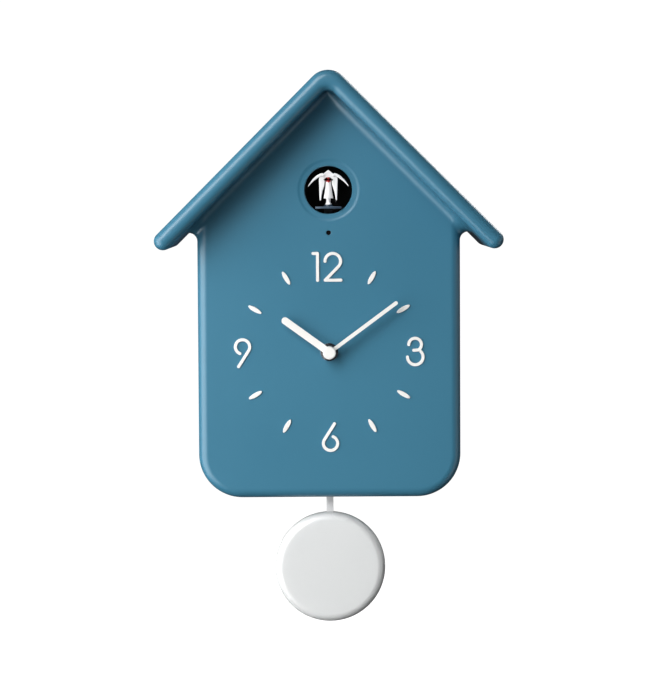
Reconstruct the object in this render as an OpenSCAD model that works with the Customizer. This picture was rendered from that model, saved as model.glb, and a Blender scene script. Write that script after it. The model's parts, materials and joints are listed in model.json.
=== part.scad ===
// Battery cuckoo clock: a gabled moulded case with a bird that slides out and a swinging pendulum.
// +X is to the right of someone facing the clock, the front faces -Y, +Z is up.
// The origin is the keyhole that the clock hangs on, in the plane of the wall.

/* [Case] */
// Width across the two side walls
body_w = 186.5; // [178:0.5:224]
// Height from the centre of the dial down to the underside
body_drop = 104; // [102:0.5:126]
// Radius of the two lower corners
corner_r = 31; // [20:0.5:38]
// Depth from the wall to the front of the face
face_depth = 91; // [88:0.5:110]
// Thickness of the moulded walls and of the face
wall = 3; // [2.5:0.1:3.6]
// Radius of the rounded edge round the face
edge_r = 7; // [6:0.5:8]

/* [Roof] */
// Height of the sharp meeting point of the two roof slopes above the dial centre
roof_peak = 204.5; // [196:0.5:222]
// How far each eave stands out past the side wall
eave_out = 29; // [20:0.25:36]
// Thickness of the roof slab
roof_t = 12.7; // [11:0.1:13]
// Outer radius of the rounded ridge
ridge_r = 15; // [13.5:0.5:18]
// How far the roof stands out in front of the face
overhang = 29; // [20:0.5:35]
// Radius of the cove between the roof's underside and the face
cove_r = 7; // [4:0.5:8]
// Radius of the fillet between the side wall and the eave
eave_r = 6; // [4:0.5:8]

/* [Dial] */
// Radius of the circle of hour marks
mark_ring = 60.7; // [56:0.1:68]
// Length of an hour mark
mark_l = 10.6; // [8:0.1:12]
// Width of an hour mark
mark_w = 3.1; // [2.4:0.1:3.8]
// Width of the numerals' strokes
stroke = 2.1; // [1.8:0.05:2.6]
// How far the numerals and marks stand proud
relief = 0.8; // [0.5:0.1:1.5]
// Distance from the rim of the bird's ring down to the light-sensor hole
sensor_gap = 8.2; // [8:0.1:10]
// Radius of the light-sensor hole
sensor_r = 1.65; // [1.2:0.05:2.2]

/* [Hands] */
// Reach of the hour hand from the centre
hour_l = 41; // [34:0.5:46]
// Width of the hour hand
hour_w = 5; // [3.6:0.1:6]
// Reach of the minute hand from the centre
minute_l = 60; // [50:0.5:61]
// Width of the minute hand
minute_w = 2.6; // [2.4:0.1:4]
// Thickness of both hands
hand_t = 1.2; // [0.8:0.1:1.5]
// Angle of the hour hand, clockwise from twelve
hour_angle = -54; // [-180:1:180]
// Angle of the minute hand, clockwise from twelve
minute_angle = 53.6; // [-180:0.1:180]
// Radius of the round cap on the hands
cap_r = 4.6; // [3.6:0.1:5.5]

/* [Bird] */
// Height of the bird opening's centre above the dial centre
hole_up = 114.7; // [113:0.5:118]
// Radius of the bird opening
hole_r = 16.8; // [16.4:0.1:20.2]
// Width of the dished ring round the opening
ring_w = 5.2; // [3:0.1:6]
// How far the bird travels back into the case
bird_travel = 30; // [20:1:30]
// Radius of the two guide rails
rail_r = 1.5; // [1.2:0.1:1.8]
// Radius of the pins that the wings and beak turn on
wing_pin_r = 0.5; // [0.4:0.05:0.6]

/* [Pendulum] */
// Radius of the pendulum bob
bob_r = 39.6; // [33:0.1:47.5]
// Thickness of the bob
bob_t = 14; // [11:0.5:16]
// Gap between the underside of the case and the top of the bob
bob_gap = 12.2; // [8:0.2:30]
// Width of the pendulum rod
rod_w = 5; // [4:0.1:6]
// Thickness of the pendulum rod
rod_t = 2.4; // [2:0.1:3]
// Distance of the pendulum's plane behind the face
pendulum_back = 20; // [20:0.5:22]
// Angle that the pendulum swings to each side
swing_deg = 6; // [3:0.5:7]

/* [Back] */
// Thickness of the back cover
cover_t = 2.5; // [2:0.1:3]
// Radius of a battery cell
cell_r = 13.1; // [11:0.1:13.4]
// Length of a battery cell
cell_l = 50; // [46:0.5:50]
// Radius of the loudspeaker
speaker_r = 25; // [22:0.5:27]
// Depth of the keyhole above the dial centre
hang_up = 150; // [146:0.5:156]
// Radius of the keyhole's round entry
key_r = 4.75; // [4.5:0.05:5.5]
// Width of the keyhole's slot
key_slot = 5; // [4.6:0.1:5]

/* [Movement] */
// Width and height of the movement's case
move_w = 55; // [55:0.5:58]
// Depth of the movement's case
move_t = 15.6; // [15.6:0.1:16]
// Radius of the threaded bush through the face
bush_r = 4; // [3.6:0.1:4.5]
// Across the flats of the dial nut
nut_flats = 11; // [10:0.1:12]
// Module of the hand-setting gears
hand_module = 0.42; // [0.4:0.01:0.43]
// Module of the timekeeping gears
train_module = 0.3; // [0.28:0.01:0.3]

/* [Hidden] */
// Clearances
run = 0.08;          // radial running clearance of a shaft in its bore
slip = 0.15;         // clearance of a sliding or seated piece
blend = 0.03;        // how far a fillet runs into the surfaces it joins
seat = 0.02;         // clearance of a piece pushed on or glued in
gap = 0.3;           // gap between pieces that only lie side by side
$fn = 64;

// Places on the face
ring_r = hole_r + ring_w;
sensor_up = hole_up - ring_r - sensor_gap;

// Places along Y
y_face = -face_depth;
y_in = y_face + wall;
y_roof = y_face - overhang;
y_cover = -cover_t;
diag = sqrt(2);
ridge_up = roof_peak - ridge_r * diag;      // height of the ridge's centre
roof_half = body_w / 2 + eave_out;
tip_x = roof_half - roof_t / 2;             // centre of the eave's round end
tip_z = roof_peak - roof_t / diag - tip_x;

// ---------- helpers ----------

// Everything on the dial is placed from the dial's centre
module at_dial() translate([0, 0, -hang_up]) children();

// Extrudes an outline drawn in X and Z from y0 back to y1
module prism(y0, y1) translate([0, y1, 0]) rotate([90, 0, 0]) linear_extrude(height = y1 - y0) children();

module block(x0, x1, y0, y1, z0, z1) translate([x0, y0, z0]) cube([x1 - x0, y1 - y0, z1 - z0]);

// Round bar along Y, along X or along Z
module rod_y(x, z, r, y0, y1) translate([x, y1, z]) rotate([90, 0, 0]) cylinder(r = r, h = y1 - y0);
module rod_x(y, z, r, x0, x1) translate([x0, y, z]) rotate([0, 90, 0]) cylinder(r = r, h = x1 - x0);
module rod_z(x, y, r, z0, z1) translate([x, y, z0]) cylinder(r = r, h = z1 - z0);

module tube_y(x, z, r, bore, y0, y1) difference() {
    rod_y(x, z, r, y0, y1);
    rod_y(x, z, bore, y0 - 1, y1 + 1);
}

function polar(r, a) = [r * cos(a), r * sin(a)];

// Gear outline with straight-sided teeth and generous backlash
root_share = 1.15;
tip_share = 0.7;
tooth_edges = [-0.28, -0.12, 0.12, 0.28];
function pitch_r(teeth, m) = teeth * m / 2;
function gear_points(teeth, m) = [
    for (i = [0:teeth - 1]) for (k = [0:3])
        polar(pitch_r(teeth, m) + m * (k == 0 || k == 3 ? -root_share : tip_share),
              360 / teeth * (i + tooth_edges[k]))
];
module gear2d(teeth, m, phase) rotate(phase) polygon(gear_points(teeth, m));

// Angle at which gear b meshes with gear a, when b lies in the direction theta from a
function mesh_phase(teeth_a, phase_a, teeth_b, theta) =
    theta + 180 - 360 / teeth_b * (0.5 - (theta - phase_a) * teeth_a / 360);

// ---------- case outlines, in X and Z from the dial centre ----------

// Everything below the roof's outer surface, set in by k, down to a height low
module gable2d(k, low) {
    reach = roof_peak - k * diag - low;
    tangent = polar(ridge_r - k, 45);
    polygon([[-reach, low], [reach, low], [tangent[0], ridge_up + tangent[1]],
             [-tangent[0], ridge_up + tangent[1]]]);
    translate([0, ridge_up]) circle(r = ridge_r - k);
}

// The roof slab, set in by k on every side
module slab2d(k) {
    n = [1 / diag, 1 / diag];
    top = ridge_r - k;
    low = ridge_r - roof_t + k;
    c = [0, ridge_up];
    tip = [tip_x, tip_z];
    half = roof_t / 2 - k;
    for (side = [0, 1]) mirror([side, 0]) {
        polygon([c + n * top, tip + n * half, tip - n * half, c + n * low]);
        translate(tip) circle(r = half);
    }
    difference() {
        intersection() {
            translate(c) circle(r = top);
            polygon([c, c + n * ridge_r * 2, c + [0, ridge_r * 3], c + [-n[0], n[1]] * ridge_r * 2]);
        }
        translate(c) circle(r = low);
    }
}

// The body below the roof, set in by k, with its top hidden in the roof slab at depth top_k
module body2d(k, top_k) {
    half = body_w / 2 - k;
    r = corner_r - k;
    low = -body_drop + k;
    peak = roof_peak - top_k * diag;
    polygon([[-half, low + r], [half, low + r], [half, peak - half], [0, peak], [-half, peak - half]]);
    translate([-half + r, low]) square([2 * (half - r), r]);
    for (side = [-1, 1]) translate([side * (half - r), low + r]) circle(r = r);
}

// Fillet between the side wall and the underside of the eave
module eave_fillet2d() {
    wall_x = body_w / 2;
    cx = wall_x + eave_r - blend;
    under = roof_peak - roof_t * diag;
    cz = under - (eave_r - blend) * diag - cx;
    foot = [cx + 1.05 * eave_r / diag, cz + eave_r / diag];
    for (side = [0, 1]) mirror([side, 0]) difference() {
        polygon([[wall_x - 1, cz], [cx, cz], foot, [wall_x - 1, under - wall_x + 2]]);
        translate([cx, cz]) circle(r = eave_r);
    }
}

// ---------- case ----------

screw_x = body_w / 2 - wall - 8;
screw_spots = [[screw_x, 62], [-screw_x, 62], [screw_x - 12, -body_drop + 18], [-screw_x + 12, -body_drop + 18],
               [0, roof_peak - 38]];
boss_r = 4;
screw_r = 1.5;
pivot_drop = 38;                             // the pendulum's pivot below the dial centre
slot_half = (body_drop - pivot_drop) * tan(swing_deg) + rod_w / 2 + 4.5;
slot_d = 10;
loft_k = roof_t / 2 + 1;                     // depth of the inside's top edge below the roof's outer surface
y_swing = y_face + pendulum_back;

// Rounded front edge of the body: a bar along each wall and the bottom, and a round-edged disc in each corner
module body_edge() {
    half = body_w / 2 - edge_r;
    y_c = y_face + edge_r;
    corner = corner_r - edge_r;
    wall_top = roof_peak - roof_t * diag - half;
    for (side = [-1, 1]) {
        rod_z(side * half, y_c, edge_r, -body_drop + corner_r, wall_top);
        translate([side * (half - corner), 0, -body_drop + corner_r]) rotate([90, 0, 0]) rotate_extrude() {
            translate([0, -y_face - 2 * edge_r]) square([corner, 2 * edge_r]);
            translate([0, -y_face - 2 * edge_r]) square([corner_r, edge_r]);
            translate([corner, -y_face - edge_r]) circle(r = edge_r);
        }
    }
    rod_x(y_c, -body_drop + edge_r, edge_r, -half + corner, half - corner);
}

// Cove along one slope, where the roof's underside meets the face
module cove(side) {
    under = roof_peak - roof_t * diag;
    run_l = (body_w / 2 - edge_r) * diag;
    intersection() {
        mirror([side, 0, 0]) translate([0, y_face, under]) rotate([0, 45, 0]) translate([-cove_r, 0, -cove_r])
            difference() {
                translate([0, -cove_r, 0]) cube([run_l + cove_r, cove_r + 1, cove_r + 1]);
                translate([-1, -cove_r, 0]) rotate([0, 90, 0]) cylinder(r = cove_r, h = run_l + cove_r + 2);
            }
        block(side ? -body_w / 2 + edge_r : 0, side ? 0 : body_w / 2 - edge_r, y_face - cove_r, y_face + 1,
              0, roof_peak);
    }
}

module housing() color("steelblue") at_dial() {
    difference() {
        union() {
            prism(y_roof, 0) slab2d(0);
            prism(y_face + edge_r, 0) body2d(0, roof_t / 2);
            prism(y_face, y_face + edge_r + 1) body2d(edge_r, roof_t / 2);
            body_edge();
            prism(y_face + edge_r, 0) eave_fillet2d();
            cove(0);
            cove(1);
        }
        // Hollow inside, open at the back
        prism(y_in, y_face + edge_r + 1) body2d(edge_r + 0.5, loft_k);
        prism(y_face + edge_r, 1) body2d(wall, loft_k);
        prism(y_roof + wall, y_cover) slab2d(wall);
        // Dished ring and bird opening
        rod_y(0, hole_up, hole_r, y_face - 1, y_in + 1);
        translate([0, y_face - 0.01, hole_up]) rotate([-90, 0, 0])
            cylinder(r1 = ring_r, r2 = hole_r, h = wall / 2);
        // Light-sensor hole, and the hole for the movement's bush
        rod_y(0, sensor_up, sensor_r, y_face - 1, y_in + 1);
        rod_y(0, 0, bush_r + slip, y_face - 1, y_in + 1);
        // Slot that the pendulum swings in
        block(-slot_half, slot_half, y_swing - slot_d / 2, y_swing + slot_d / 2, -body_drop - 1, -body_drop + wall + 1);
    }
    // Pillars for the back cover's screws
    for (p = screw_spots) tube_y(p[0], p[1], boss_r, screw_r - 0.1, y_in - 0.5, y_cover);
    // Short studs for the main board, the pendulum bracket and the bird chamber
    for (p = board_spots) tube_y(p[0], p[1], 3, 1.1, y_in - 0.5, y_board);
    for (p = bracket_spots) tube_y(p[0], p[1], 2.6, 1.1, y_in - 0.5, y_bracket);
    for (p = chamber_spots) tube_y(p[0], p[1], 3, 1.1, y_in - 0.5, y_lug);
}

// ---------- back ----------

rim = slip + 0.15;                                  // gap round the back cover
bay_half = 3 * cell_r + 2.4;                        // half the width of the battery bay, inside
bay_z1 = -body_drop + 61.5;                         // top of the bay, inside
bay_z0 = bay_z1 - cell_l - 3;                       // bottom of the bay, inside
bay_y = y_cover - 2 * cell_r - 0.8;                 // front of the bay, inside
bay_wall = 1.6;
cell_pitch = 2 * cell_r + 0.6;
cell_y = bay_y + cell_r + 0.3;
door_lip = 2;
speaker_x = 48;
speaker_z = 28;
knob_r = 7.5;
control_x = -66;
control_z = 8;
control_w = 34;
control_h = 46;
y_control = y_cover - 9;                            // back face of the control board
control_t = 1.6;
volume_z = control_z + 14;
mode_z = control_z - 2;
button_z = control_z - 16;
button_r = 3;
lever_w = 3;
lever_h = 4;
lever_throw = 2;
key_up = 7;                                         // height of the keyhole's slot above its entry

module keyhole() {
    rod_y(0, hang_up, key_r, y_cover - 1, 1);
    block(-key_slot / 2, key_slot / 2, y_cover - 1, 1, hang_up, hang_up + key_up);
    rod_y(0, hang_up + key_up, key_slot / 2, y_cover - 1, 1);
}

module back_cover() color("dimgray") at_dial() difference() {
    union() {
        prism(y_cover, 0) body2d(wall + rim, loft_k + rim);
        block(-bay_half - bay_wall, bay_half + bay_wall, bay_y - bay_wall, y_cover + 0.1,
              bay_z0 - bay_wall, bay_z1 + bay_wall);
        for (sx = [-1, 1], sz = [-1, 1])
            tube_y(control_x + sx * (control_w / 2 - 3), control_z + sz * (control_h / 2 - 3), 2.6, 1,
                   y_control, y_cover + 0.1);
        tube_y(speaker_x, speaker_z, speaker_r + 2, speaker_r + slip, y_cover - 4, y_cover + 0.1);
    }
    // Battery bay and the recess of its door
    block(-bay_half, bay_half, bay_y, 1, bay_z0, bay_z1);
    block(-bay_half - door_lip, bay_half + door_lip, -cover_t / 2 - 0.4, 1, bay_z0 - door_lip, bay_z1 + door_lip);
    keyhole();
    for (p = screw_spots) {
        rod_y(p[0], p[1], screw_r + slip, y_cover - 1, 1);
        rod_y(p[0], p[1], 3.3, -1.7, 1);
    }
    rod_y(knob_x, knob_z, knob_r + 1, y_cover - 1, 1);
    // Sound holes
    for (ring = [0:3], i = [0:max(0, ring * 6 - 1)])
        rod_y(speaker_x + polar(ring * 5.6, i * 60 / max(1, ring))[0],
              speaker_z + polar(ring * 5.6, i * 60 / max(1, ring))[1], 1.5, y_cover - 1, 1);
    // Slots for the two switches and the hole for the test button
    for (z = [volume_z, mode_z])
        block(control_x - lever_w / 2 - 0.4, control_x + lever_w / 2 + 0.4, y_cover - 1, 1,
              z - lever_h / 2 - lever_throw - 0.6, z + lever_h / 2 + lever_throw + 0.6);
    rod_y(control_x, button_z, button_r + 0.3, y_cover - 1, 1);
}

module battery_door() color("dimgray") at_dial() difference() {
    lip = door_lip - slip * 2;
    block(-bay_half - lip, bay_half + lip, -cover_t / 2 - 0.3, 0, bay_z0 - lip, bay_z1 + lip);
    // Ribbed finger grip
    for (i = [-3:3]) block(-12, 12, -0.5, 1, bay_z1 - 8 + i * 1.6, bay_z1 - 7.2 + i * 1.6);
}

// Countersunk cross-head screw, whose head lies in a face at y0 and whose shank runs forward
module screw(x, z, r, head_r, head_t, y0, length) difference() {
    union() {
        rod_y(x, z, head_r, y0, y0 + head_t);
        rod_y(x, z, r, y0 - length, y0 + 0.1);
    }
    for (a = [0, 90]) translate([x, y0 + head_t, z]) rotate([0, a, 0])
        cube([head_r * 1.3, head_t, head_r * 0.28], center = true);
}

module case_screws() color("silver") at_dial()
    for (p = screw_spots) screw(p[0], p[1], screw_r - 0.15, 3, 1.4, -1.7, 14);

// ---------- power ----------

module c_cells() color("darkslategray") at_dial() for (i = [-1:1]) {
    flip = i == 0 ? 1 : 0;
    mid = (bay_z0 + bay_z1) / 2;
    translate([i * cell_pitch, cell_y, mid]) mirror([0, 0, flip]) {
        translate([0, 0, -cell_l / 2]) cylinder(r = cell_r, h = cell_l - 2);
        translate([0, 0, cell_l / 2 - 2.1]) cylinder(r = cell_r * 0.28, h = 2.1);
        translate([0, 0, cell_l / 2 - 2.3]) cylinder(r = cell_r * 0.8, h = 0.8);
    }
}

// Conical contact spring, as rings joined by a stem plate
module cell_spring(x, z0, z1) for (i = [0:3]) {
    r = cell_r * (0.5 - 0.09 * i);
    z = z0 + (z1 - z0) * i / 4;
    translate([x, cell_y, z]) difference() {
        cylinder(r = r, h = (z1 - z0) / 4 + 0.02);
        translate([0, 0, -1]) cylinder(r = r - 0.9, h = 3);
    }
}

spring_room = (bay_z1 - bay_z0 - cell_l) / 2 - 0.5 - gap / 3;
module battery_springs() color("silver") at_dial() for (i = [-1:1])
    if (i == 0) mirror([0, 0, 0]) translate([0, 0, bay_z0 + bay_z1]) mirror([0, 0, 1])
        cell_spring(0, bay_z0 + 0.5, bay_z0 + 0.5 + spring_room);
    else cell_spring(i * cell_pitch, bay_z0 + 0.5, bay_z0 + 0.5 + spring_room);

module battery_contacts() color("silver") at_dial() for (i = [-1:1]) {
    half = cell_r * 0.62;
    for (low = [0, 1])
        block(i * cell_pitch - half, i * cell_pitch + half, bay_y + 3, y_cover - 3,
              low ? bay_z0 : bay_z1 - 0.5, low ? bay_z0 + 0.5 : bay_z1);
}

// ---------- sound and controls ----------

module speaker_basket() color("gray") at_dial() {
    difference() {
        union() {
            rod_y(speaker_x, speaker_z, speaker_r, y_cover - 3, y_cover);
            translate([speaker_x, y_cover - 12, speaker_z]) rotate([-90, 0, 0])
                cylinder(r1 = speaker_r * 0.56, r2 = speaker_r * 0.9, h = 9.1);
        }
        rod_y(speaker_x, speaker_z, speaker_r - 2.5, y_cover - 2.4, y_cover + 1);
        translate([speaker_x, y_cover - 11, speaker_z]) rotate([-90, 0, 0])
            cylinder(r1 = speaker_r * 0.5, r2 = speaker_r * 0.86, h = 9.2);
        for (i = [0:5]) translate([speaker_x, 0, speaker_z]) rotate([0, i * 60, 0])
            block(speaker_r * 0.5, speaker_r * 0.95, y_cover - 10, y_cover - 4, -4, 4);
    }
}

module speaker_magnet() color("darkgray") at_dial() {
    tube_y(speaker_x, speaker_z, speaker_r * 0.52, speaker_r * 0.2, y_cover - 18, y_cover - 12);
    rod_y(speaker_x, speaker_z, speaker_r * 0.52, y_cover - 19.5, y_cover - 18);
}

module speaker_cone() color("black") at_dial() translate([speaker_x, 0, speaker_z]) difference() {
    translate([0, y_cover - 9.8, 0]) rotate([-90, 0, 0]) cylinder(r1 = speaker_r * 0.3, r2 = speaker_r * 0.8, h = 7.8);
    translate([0, y_cover - 9.2, 0]) rotate([-90, 0, 0]) cylinder(r1 = speaker_r * 0.27, r2 = speaker_r * 0.8, h = 7.9);
}

module control_board() color("darkgreen") at_dial() difference() {
    block(control_x - control_w / 2, control_x + control_w / 2, y_control - control_t, y_control,
          control_z - control_h / 2, control_z + control_h / 2);
    for (sx = [-1, 1], sz = [-1, 1])
        rod_y(control_x + sx * (control_w / 2 - 3), control_z + sz * (control_h / 2 - 3), 1.2,
              y_control - control_t - 1, y_control + 1);
}

switch_half = 4;
switch_t = 4;
module switch_bodies() color("silver") at_dial() {
    for (z = [volume_z, mode_z]) difference() {
        block(control_x - switch_half, control_x + switch_half, y_control, y_control + switch_t,
              z - lever_h / 2 - lever_throw - 2, z + lever_h / 2 + lever_throw + 2);
        block(control_x - lever_w / 2 - 0.3, control_x + lever_w / 2 + 0.3, y_control + 1, y_control + switch_t + 1,
              z - lever_h / 2 - lever_throw - 0.4, z + lever_h / 2 + lever_throw + 0.4);
    }
    tube_y(control_x, button_z, 4, 2.4, y_control, y_control + switch_t);
}

module lever(z) block(control_x - lever_w / 2, control_x + lever_w / 2, y_control + 1 + gap, -0.6,
                      z - lever_h / 2, z + lever_h / 2);
module volume_lever() color("black") at_dial() lever(volume_z);
module mode_lever() color("black") at_dial() lever(mode_z);

button_press = 1.5;
module test_button() color("white") at_dial() {
    rod_y(control_x, button_z, button_r, y_cover - 2.4, -0.2);
    rod_y(control_x, button_z, 2.1, y_control + button_press + 0.3, y_cover - 2);
}

// ---------- main board ----------

board_x0 = -body_w / 2 + 9.25;
board_x1 = board_x0 + 50;
board_z0 = -36;
board_z1 = 34;
board_t = 1.6;
board_spots = [[board_x0 + 4, board_z0 + 4], [board_x1 - 4, board_z0 + 4], [board_x0 + 4, board_z1 - 4],
               [board_x1 - 4, board_z1 - 4]];
y_board = y_in + 8;

module main_board() color("darkgreen") at_dial() difference() {
    block(board_x0, board_x1, y_board, y_board + board_t, board_z0, board_z1);
    for (p = board_spots) rod_y(p[0], p[1], 1.3, y_board - 1, y_board + board_t + 1);
}

module board_parts() color("black") at_dial() translate([board_x0, y_board + board_t, board_z0]) {
    translate([14, 0, 30]) cube([12, 2.2, 12]);
    translate([14, 0, 50]) cube([8, 1.8, 6]);
    translate([30, 0, 50]) cube([9, 6.5, 6]);
    translate([32, 0, 12]) cube([10, 5, 5]);
    for (p = [[12, 14], [22, 14], [38, 34]]) translate([p[0], 8, p[1]]) rotate([90, 0, 0]) cylinder(r = 3.2, h = 8);
    for (i = [0:4]) translate([10 + i * 6, 0, 22]) cube([3.2, 1.1, 1.6]);
}

module inner_screws() color("silver") at_dial() {
    for (p = board_spots) screw(p[0], p[1], 1.05, 2.2, 1.4, y_board + board_t, 7);
    for (p = bracket_spots) screw(p[0], p[1], 1.05, 2.2, 1.4, y_bracket + bracket_t, 4.8);
    for (p = chamber_spots) screw(p[0], p[1], 1.05, 2.2, 1.4, y_lug + lug_t, 8);
}

// ---------- dial ----------

// Straight stroke with round ends between two points
module bar2d(a, b) {
    d = b - a;
    translate(a) rotate(atan2(d[1], d[0])) translate([0, -stroke / 2]) square([norm(d), stroke]);
    for (p = [a, b]) translate(p) circle(r = end_r);
}

// Curved stroke round c from angle a0, turning by sweep
module arc(c, r, a0, sweep) translate(c) rotate(a0)
    rotate_extrude(angle = sweep) translate([r - stroke / 2, 0]) square([stroke, relief]);

module raised() linear_extrude(height = relief) children();

// Where the line from p touches the circle round c, on the side given by turn
function touch(p, c, r, turn) =
    let (d = c - p, l = norm(d), a = atan2(d[1], d[0]) + turn * asin(r / l), t = sqrt(l * l - r * r)) p + polar(t, a);
function heading(c, p) = atan2(p[1] - c[1], p[0] - c[0]);

end_r = stroke / 2 + 0.01;          // radius of a stroke's round end
twelve_z = 50.95;                   // foot of the twelve, along its stroke's centre line
twelve_top = 69.9;
two_r = 5.5;
two_c = [2.8, twelve_top - two_r];
bowl_r = 5.07;
nine_c = [-61.5, 4];
six_c = [0.5, -65];
three_top = [60.85, 4.95];
three_top_r = 4.5;
three_low = [60.95, -3.85];
three_low_r = 5.5;

module numeral_one() {
    raised() bar2d([-8, twelve_z], [-8, twelve_top]);
    raised() bar2d([-11.2, twelve_top], [-8, twelve_top]);
}

module numeral_two() {
    foot = [-2.6, twelve_z];
    t = touch(foot, two_c, two_r, -1);
    a = heading(two_c, t);
    arc(two_c, two_r, a, 180 - a);
    raised() bar2d(foot, t);
    raised() bar2d(foot, [8.5, twelve_z]);
    raised() translate(two_c + [-two_r, 0]) circle(r = end_r);
}

module numeral_three() {
    arc(three_top, three_top_r, -52, 232);
    arc(three_low, three_low_r, -180, 232);
    raised() bar2d([59.9, 0.9], three_top + polar(three_top_r, -58));
    raised() translate(three_top + [-three_top_r, 0]) circle(r = end_r);
    raised() translate(three_low + [-three_low_r, 0]) circle(r = end_r);
}

// The six, and turned half a turn the nine: a bowl, a tail that touches it and a short open end
module hooked(c) translate(c) {
    tail = [2.9, 14];
    t = touch(tail, [0, 0], bowl_r, -1);
    a = heading([0, 0], t);
    arc([0, 0], bowl_r, a, 360 + 68 - a);
    raised() bar2d(tail, t);
    raised() translate(polar(bowl_r, 68)) circle(r = end_r);
}

module numerals() color("white") at_dial() translate([0, y_face, 0]) rotate([90, 0, 0]) {
    numeral_one();
    numeral_two();
    numeral_three();
    hooked(six_c);
    translate(nine_c) rotate(180) translate(-nine_c) hooked(nine_c);
}

mark_points = 24;
module hour_marks() color("white") at_dial() translate([0, y_face, 0]) rotate([90, 0, 0]) raised()
    for (h = [0:11]) if (h % 3 != 0) rotate(h * 30) translate([mark_ring, 0])
        polygon([for (i = [0:mark_points - 1]) [mark_l / 2 * cos(i * 360 / mark_points),
                                               mark_w / 2 * sin(i * 360 / mark_points)]]);

module light_sensor() color("khaki") at_dial() {
    difference() {
        union() {
            rod_y(0, sensor_up, 2.2, y_in, y_in + 3.2);
            rod_y(0, sensor_up, 3, y_in, y_in + 0.8);
        }
        rod_y(0, sensor_up, 1, y_in - 1, y_in + 0.6);
    }
    for (s = [-1, 1]) rod_y(s, sensor_up, 0.25, y_in + 3.15, y_in + 10);
}

// ---------- movement ----------

y_move = y_in;                               // front of the movement, against the face
move_wall = 1.5;
y_lid = y_move + move_t - move_wall;
hub = [0, 0];
hour_teeth = 40;
cannon_teeth = 12;
motion_teeth = 36;
motion_pinion = 10;
hand_dist = pitch_r(cannon_teeth + motion_teeth, hand_module);
pinion_module = hand_dist * 2 / (hour_teeth + motion_pinion);
motion_dir = 210;
motion_at = polar(hand_dist, motion_dir);
knob_teeth = 12;
knob_at = motion_at + polar(hand_dist, motion_dir);
knob_x = knob_at[0];
knob_z = knob_at[1];
centre_teeth = 60;
third_pinion = 8;
third_teeth = 64;
seconds_pinion = 8;
seconds_teeth = 60;
middle_pinion = 10;
middle_teeth = 60;
rotor_teeth = 12;
third_dir = 60;
seconds_dir = 0;
middle_dir = -90;
rotor_dir = -120;
third_at = polar(pitch_r(centre_teeth + third_pinion, train_module), third_dir);
seconds_at = third_at + polar(pitch_r(third_teeth + seconds_pinion, train_module), seconds_dir);
middle_at = seconds_at + polar(pitch_r(seconds_teeth + middle_pinion, train_module), middle_dir);
rotor_at = middle_at + polar(pitch_r(middle_teeth + rotor_teeth, train_module), rotor_dir);
cannon_phase = 0;
motion_phase = mesh_phase(cannon_teeth, cannon_phase, motion_teeth, motion_dir);
hour_phase = mesh_phase(motion_pinion, motion_phase, hour_teeth, motion_dir + 180);
knob_phase = mesh_phase(motion_teeth, motion_phase, knob_teeth, motion_dir);
third_phase = mesh_phase(centre_teeth, 0, third_pinion, third_dir);
seconds_phase = mesh_phase(third_teeth, third_phase, seconds_pinion, seconds_dir);
middle_phase = mesh_phase(seconds_teeth, seconds_phase, middle_pinion, middle_dir);
rotor_phase = mesh_phase(middle_teeth, middle_phase, rotor_teeth, rotor_dir);
// Levels of the wheels, measured back from the front of the movement
level_hour = 2.2;
level_cannon = 4.1;
level_centre = 6.6;
level_third = 8.6;
level_seconds = 10.4;
level_middle = 12;
wheel_t = 1;
pivot_r = 0.3;
hub_r = 0.8;
arbor_r = 1.15;
pipe_r = 2.3;

module gear_at(at, level, teeth, m, phase, t) translate([at[0], 0, at[1]])
    prism(y_move + level, y_move + level + t) gear2d(teeth, m, phase);
module hub_at(at, r, from, to) rod_y(at[0], at[1], r, y_move + from, y_move + to);
pivot_out = move_t - move_wall + 0.9;        // how far a wheel's back pivot reaches

nut_t = 2.6;
washer_t = 0.8;
bush_l = wall + washer_t + nut_t + 0.8;

module movement_front() color("darkslategray") at_dial() difference() {
    half = move_w / 2;
    union() {
        difference() {
            block(-half, half, y_move, y_lid, -half, half);
            block(-half + move_wall, half - move_wall, y_move + move_wall, y_lid + 1, -half + move_wall, half - move_wall);
        }
        rod_y(0, 0, bush_r, y_move - bush_l, y_move + 0.5);
    }
    rod_y(0, 0, pipe_r + run, y_move - bush_l - 1, y_move + move_wall + 1);
    for (p = [motion_at, knob_at, third_at, seconds_at, middle_at, rotor_at])
        rod_y(p[0], p[1], pivot_r + run, y_move + 0.5, y_move + move_wall + 1);
}

module movement_back() color("darkslategray") at_dial() difference() {
    half = move_w / 2;
    block(-half, half, y_lid, y_move + move_t, -half, half);
    for (p = [hub, motion_at, third_at, seconds_at, middle_at, rotor_at])
        rod_y(p[0], p[1], pivot_r + run, y_lid - 1, y_move + move_t - 0.5);
    rod_y(knob_x, knob_z, 1.6 + run, y_lid - 1, y_move + move_t + 1);
}

module dial_nut() color("dimgray") at_dial() difference() {
    y0 = y_face - washer_t - nut_t;
    prism(y0, y_face - washer_t) circle(r = nut_flats / 2 / cos(30), $fn = 6);
    rod_y(0, 0, bush_r + seat, y0 - 1, y_face);
}

module dial_washer() color("darkgray") at_dial()
    tube_y(0, 0, nut_flats / 2 + 0.8, bush_r + slip, y_face - washer_t, y_face);

coil_z = rotor_at[1] - 10;
coil_r = 3.6;
y_stator = y_move + 5.4;
stator_t = 0.9;
module stepper_stator() color("silver") at_dial() difference() {
    rx = rotor_at[0];
    rz = rotor_at[1];
    prism(y_stator, y_stator + stator_t) difference() {
        union() {
            translate([rx - 6.5, rz - 6]) square([13, 11]);
            translate([rx + 3.5, coil_z - 1.5]) square([3, 8]);
            translate([rx - 27, coil_z - 1.5]) square([33.5, 3]);
            translate([rx - 27, coil_z - 1.5]) square([1.7, 8.5]);
            translate([rx - 27, coil_z + 4.8]) square([21, 2.2]);
        }
        translate([rx, rz]) circle(r = 3);
    }
}

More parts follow.
